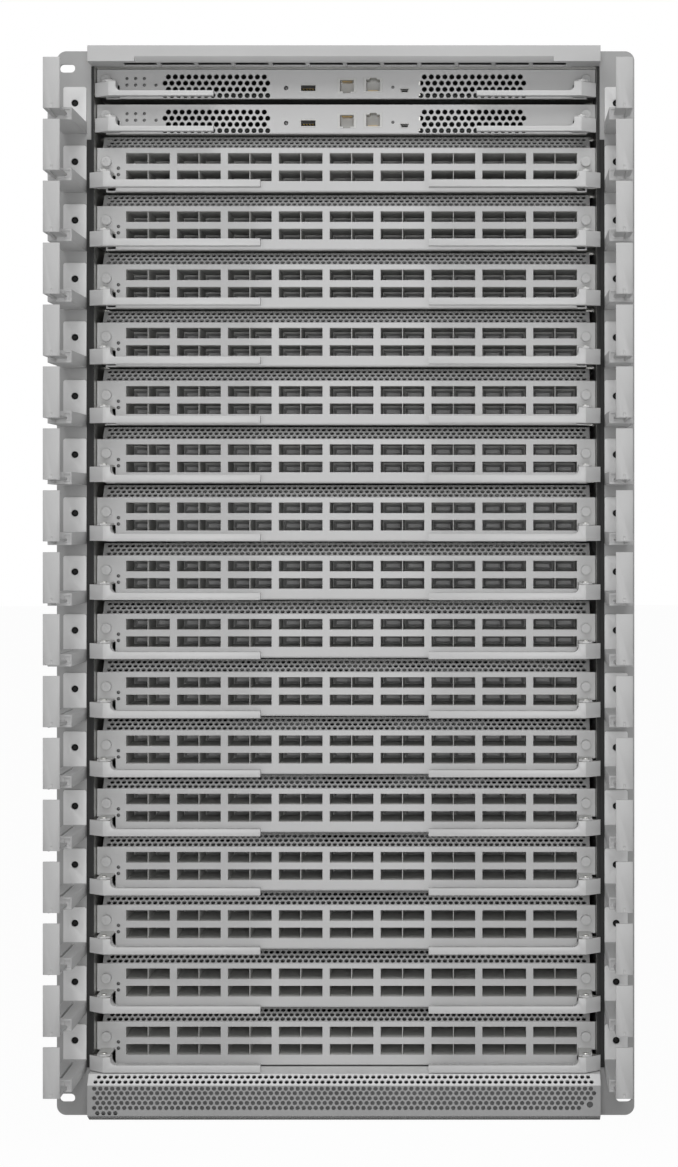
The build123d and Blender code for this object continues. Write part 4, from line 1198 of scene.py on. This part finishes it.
def rotor(name, x, z, ahead, hub, radius):
    """A fan rotor: a domed hub with seven blades that widen and twist outward."""
    span = radius - hub
    blade = block(name, (x + hub + span / 2 - 1, ahead, z), (span, 2.0, radius * 0.34))
    edit(blade)
    tip = x + radius - 1.2
    select_where(blade, "FACE", lambda low, high: low.x > tip)
    bpy.ops.transform.resize(value=(1, 1, 1.5), center_override=point(x, ahead, z))
    bpy.ops.transform.rotate(
        value=math.radians(18), orient_axis="X", center_override=point(x, ahead, z)
    )
    bpy.ops.mesh.select_all(action="SELECT")
    bpy.ops.transform.rotate(
        value=math.radians(32), orient_axis="X", center_override=point(x, ahead, z)
    )
    deselect()
    blades = around(blade, 7, x, z)
    core = bar("core", (x, ahead, z), hub, radius * 0.36, sides=32)
    round_edges(core, 1.5)
    return shade(paint(join(blades, core), black_nylon))


def wire_guard(name, x, z, ahead, radii):
    """A fan guard: rings of wire on two crossed wires."""
    wires = []
    for radius in radii:
        deselect()
        bpy.ops.mesh.primitive_torus_add(
            major_segments=36, minor_segments=6, major_radius=radius * MM, minor_radius=0.9 * MM,
            location=point(x, ahead, z), rotation=(math.radians(90), 0, 0),
        )
        wires.append(apply_place(bpy.context.active_object))
    for turn in (45, 135):
        wire = bar("wire", (x, ahead + 1.2, z), 0.9, 2 * radii[-1] + 6, tilt=0, sides=6)
        wire.data.transform(
            Matrix.Translation(point(x, 0, z)) @ Matrix.Rotation(math.radians(turn), 4, "Y")
            @ Matrix.Translation(-point(x, 0, z))
        )
        wires.append(wire)
    guard = join(*wires)
    guard.name = guard.data.name = name
    return shade(paint(guard, screw_zinc), 60)


first_z = FAN_MIDDLE_Z - 1.5 * FAN_PITCH
fan_rotor = rotor("fan_rotor_1_1", -FAN_TRAY_PITCH, first_z, REAR + 22, 22, 56)
fan_guard = wire_guard("fan_guard_1_1", -FAN_TRAY_PITCH, first_z, REAR + 6, (20, 32, 44, 56))
for tray in range(3):
    for row in range(4):
        for piece, kind, slot_name in (
            (fan_rotor, "fan_rotor", "grey_plastic"), (fan_guard, "fan_guard", "zinc_plate")
        ):
            if tray or row:
                name = f"{kind}_{tray + 1}_{row + 1}"
                twin = copy_piece(piece, name, x=tray * FAN_TRAY_PITCH, z=row * FAN_PITCH)
                mount(twin, "chassis", slot_name)
mount(fan_rotor, "chassis", "grey_plastic")
mount(fan_guard, "chassis", "zinc_plate")
trays = merged_copy("fan_trays", "fan_tray_housings")
round_edges(trays, 0.5)
shade(paint(trays, tray_zinc), 20)
mount(trays, "chassis", "zinc_plate", "fan_trays")
print("fans", 12, "rotor faces", len(fan_rotor.data.polygons))

# %% [markdown]
# Eight power supplies. Each has a small fan behind a guard, a power inlet with three pins, a
# black release latch beside its grip and a status light.

# %% Power supplies
SUPPLY_PITCH, SUPPLY_RISE = 104.9, 86.3
SUPPLY_X, SUPPLY_Z = -157.35, 80.9
SUPPLY_FAN_X = SUPPLY_X - 18.7
INLET_X, INLET_Z = SUPPLY_X + 29, SUPPLY_Z - 19
supplies = merged_copy("power_supplies", "power_supply_cases")
round_edges(supplies, 0.5)
shade(paint(supplies, tray_zinc), 20)
mount(supplies, "chassis", "zinc_plate", "power_supplies")

inlet = block("power_inlet_1_1", (INLET_X, REAR + 6, INLET_Z), (27.6, 12, 19.6))
cut(inlet, block("room", (INLET_X, REAR + 4, INLET_Z), (23, 14, 15)))
round_edges(inlet, 0.4, segments=1)
paint(inlet, black_nylon)
pins = block("power_pins_1_1", (INLET_X - 7, REAR + 7, INLET_Z), (2, 8, 5))
edit(pins)
select_where(pins, "FACE", lambda low, high: high.y < REAR + 3.1)
bpy.ops.transform.resize(value=(0.6, 1, 0.7), center_override=point(INLET_X - 7, REAR + 3, INLET_Z))
deselect()
paint(repeat(pins, (3, 7, 0, 0)), screw_zinc)
latch = block("release_latch_1_1", (INLET_X, REAR - 4, SUPPLY_Z + 33), (16, 8, 7))
edit(latch)
select_where(latch, "EDGE", lambda low, high: high.y < REAR - 7.9 and low.z > SUPPLY_Z + 36)
bpy.ops.transform.translate(value=(0, 0, -3 * MM))
deselect()
round_edges(latch, 0.8)
shade(paint(latch, black_nylon))
lamp = bar("supply_light_1_1", (SUPPLY_X + 44, REAR - 0.1, SUPPLY_Z), 2, 1.2, sides=16)
round_edges(lamp, 0.4)
shade(paint(lamp, lens_plastic))
supply_rotor = rotor("supply_rotor_1_1", SUPPLY_FAN_X, SUPPLY_Z, REAR + 10, 11, 29)
supply_guard = wire_guard("supply_guard_1_1", SUPPLY_FAN_X, SUPPLY_Z, REAR + 1.5, (10, 19, 28))
supply_pieces = {
    "power_inlet": (inlet, "grey_plastic"), "power_pins": (pins, "zinc_plate"),
    "release_latch": (latch, "grey_plastic"), "supply_light": (lamp, "grey_plastic"),
    "supply_rotor": (supply_rotor, "grey_plastic"), "supply_guard": (supply_guard, "zinc_plate"),
}
for kind, (piece, slot_name) in supply_pieces.items():
    for column in range(4):
        for row in range(2):
            if column or row:
                name = f"{kind}_{column + 1}_{row + 1}"
                twin = copy_piece(piece, name, x=column * SUPPLY_PITCH, z=row * SUPPLY_RISE)
                mount(twin, "chassis", slot_name)
    mount(piece, "chassis", slot_name)
print("power supplies", 8)

# %% [markdown]
# Fixings of the chassis: domed rivets in three rows down each side, and countersunk screws in
# three rows across the cover. The first of each is shaped and repeated, and the rivets of the
# other side are a mirrored copy.

# %% Rivets and cover screws
RIVET_COUNT, RIVET_PITCH = 12, 73.5
FIRST_RIVET = (221.4, -40, 40)
FIRST_COVER_SCREW, COVER_SCREW_PITCH = (-200, -40, 889.1), 100
FIXING_ROW_PITCH = 377

rivets = bar("side_rivets", (0, 0, 0), 3.2, 1.2, sides=16)
edit(rivets)
select_where(rivets, "FACE", lambda low, high: low.y > 0.59)
bpy.ops.mesh.inset(thickness=0.9 * MM)
bpy.ops.transform.translate(value=(0, -0.5 * MM, 0))
deselect()
to_the_side = Matrix.Rotation(math.radians(90), 4, "Z") @ Matrix.Translation(-point(0, 0, 0))
rivets.data.transform(Matrix.Translation(point(*FIRST_RIVET)) @ to_the_side)
repeat(rivets, (RIVET_COUNT, 0, 0, RIVET_PITCH), (3, 0, -FIXING_ROW_PITCH, 0))
shade(paint(rivets, screw_zinc), 30)
left_rivets = mirrored_copy(rivets, "side_rivets_left")
cover_screws = bar("cover_screws", FIRST_COVER_SCREW, 3.4, 0.8, tilt=0, sides=20)
edit(cover_screws)
select_where(cover_screws, "FACE", lambda low, high: low.z > 889.4)
bpy.ops.mesh.inset(thickness=1.2 * MM)
bpy.ops.transform.translate(value=(0, 0, -0.4 * MM))
deselect()
repeat(cover_screws, (5, COVER_SCREW_PITCH, 0, 0), (3, 0, -FIXING_ROW_PITCH, 0))
shade(paint(cover_screws, screw_zinc), 30)
for piece in (rivets, left_rivets, cover_screws):
    mount(piece, "chassis", "zinc_plate")
print("rivets", 2 * 3 * RIVET_COUNT, "cover screws", 5 * 3)

# %% [markdown]
# The CAD solids themselves keep a finish too, for every view that shows them in place of the
# dressed pieces.

# %% Finish of the solids
node_paints = {
    "top_visor": visor_coat, "air_intake": intake_coat, "cable_brackets": bracket_abs,
    "fan_trays": tray_zinc, "power_supplies": tray_zinc, "chassis_frame": chassis_grey_and_shade,
}
for name, node in frame["nodes"].items():
    node.data.materials.clear()
    node.data.materials.append(node_paints.get(name, lever_coat if "lever" in name else panel_coat))
print("solids painted", len(frame["nodes"]))

deselect()
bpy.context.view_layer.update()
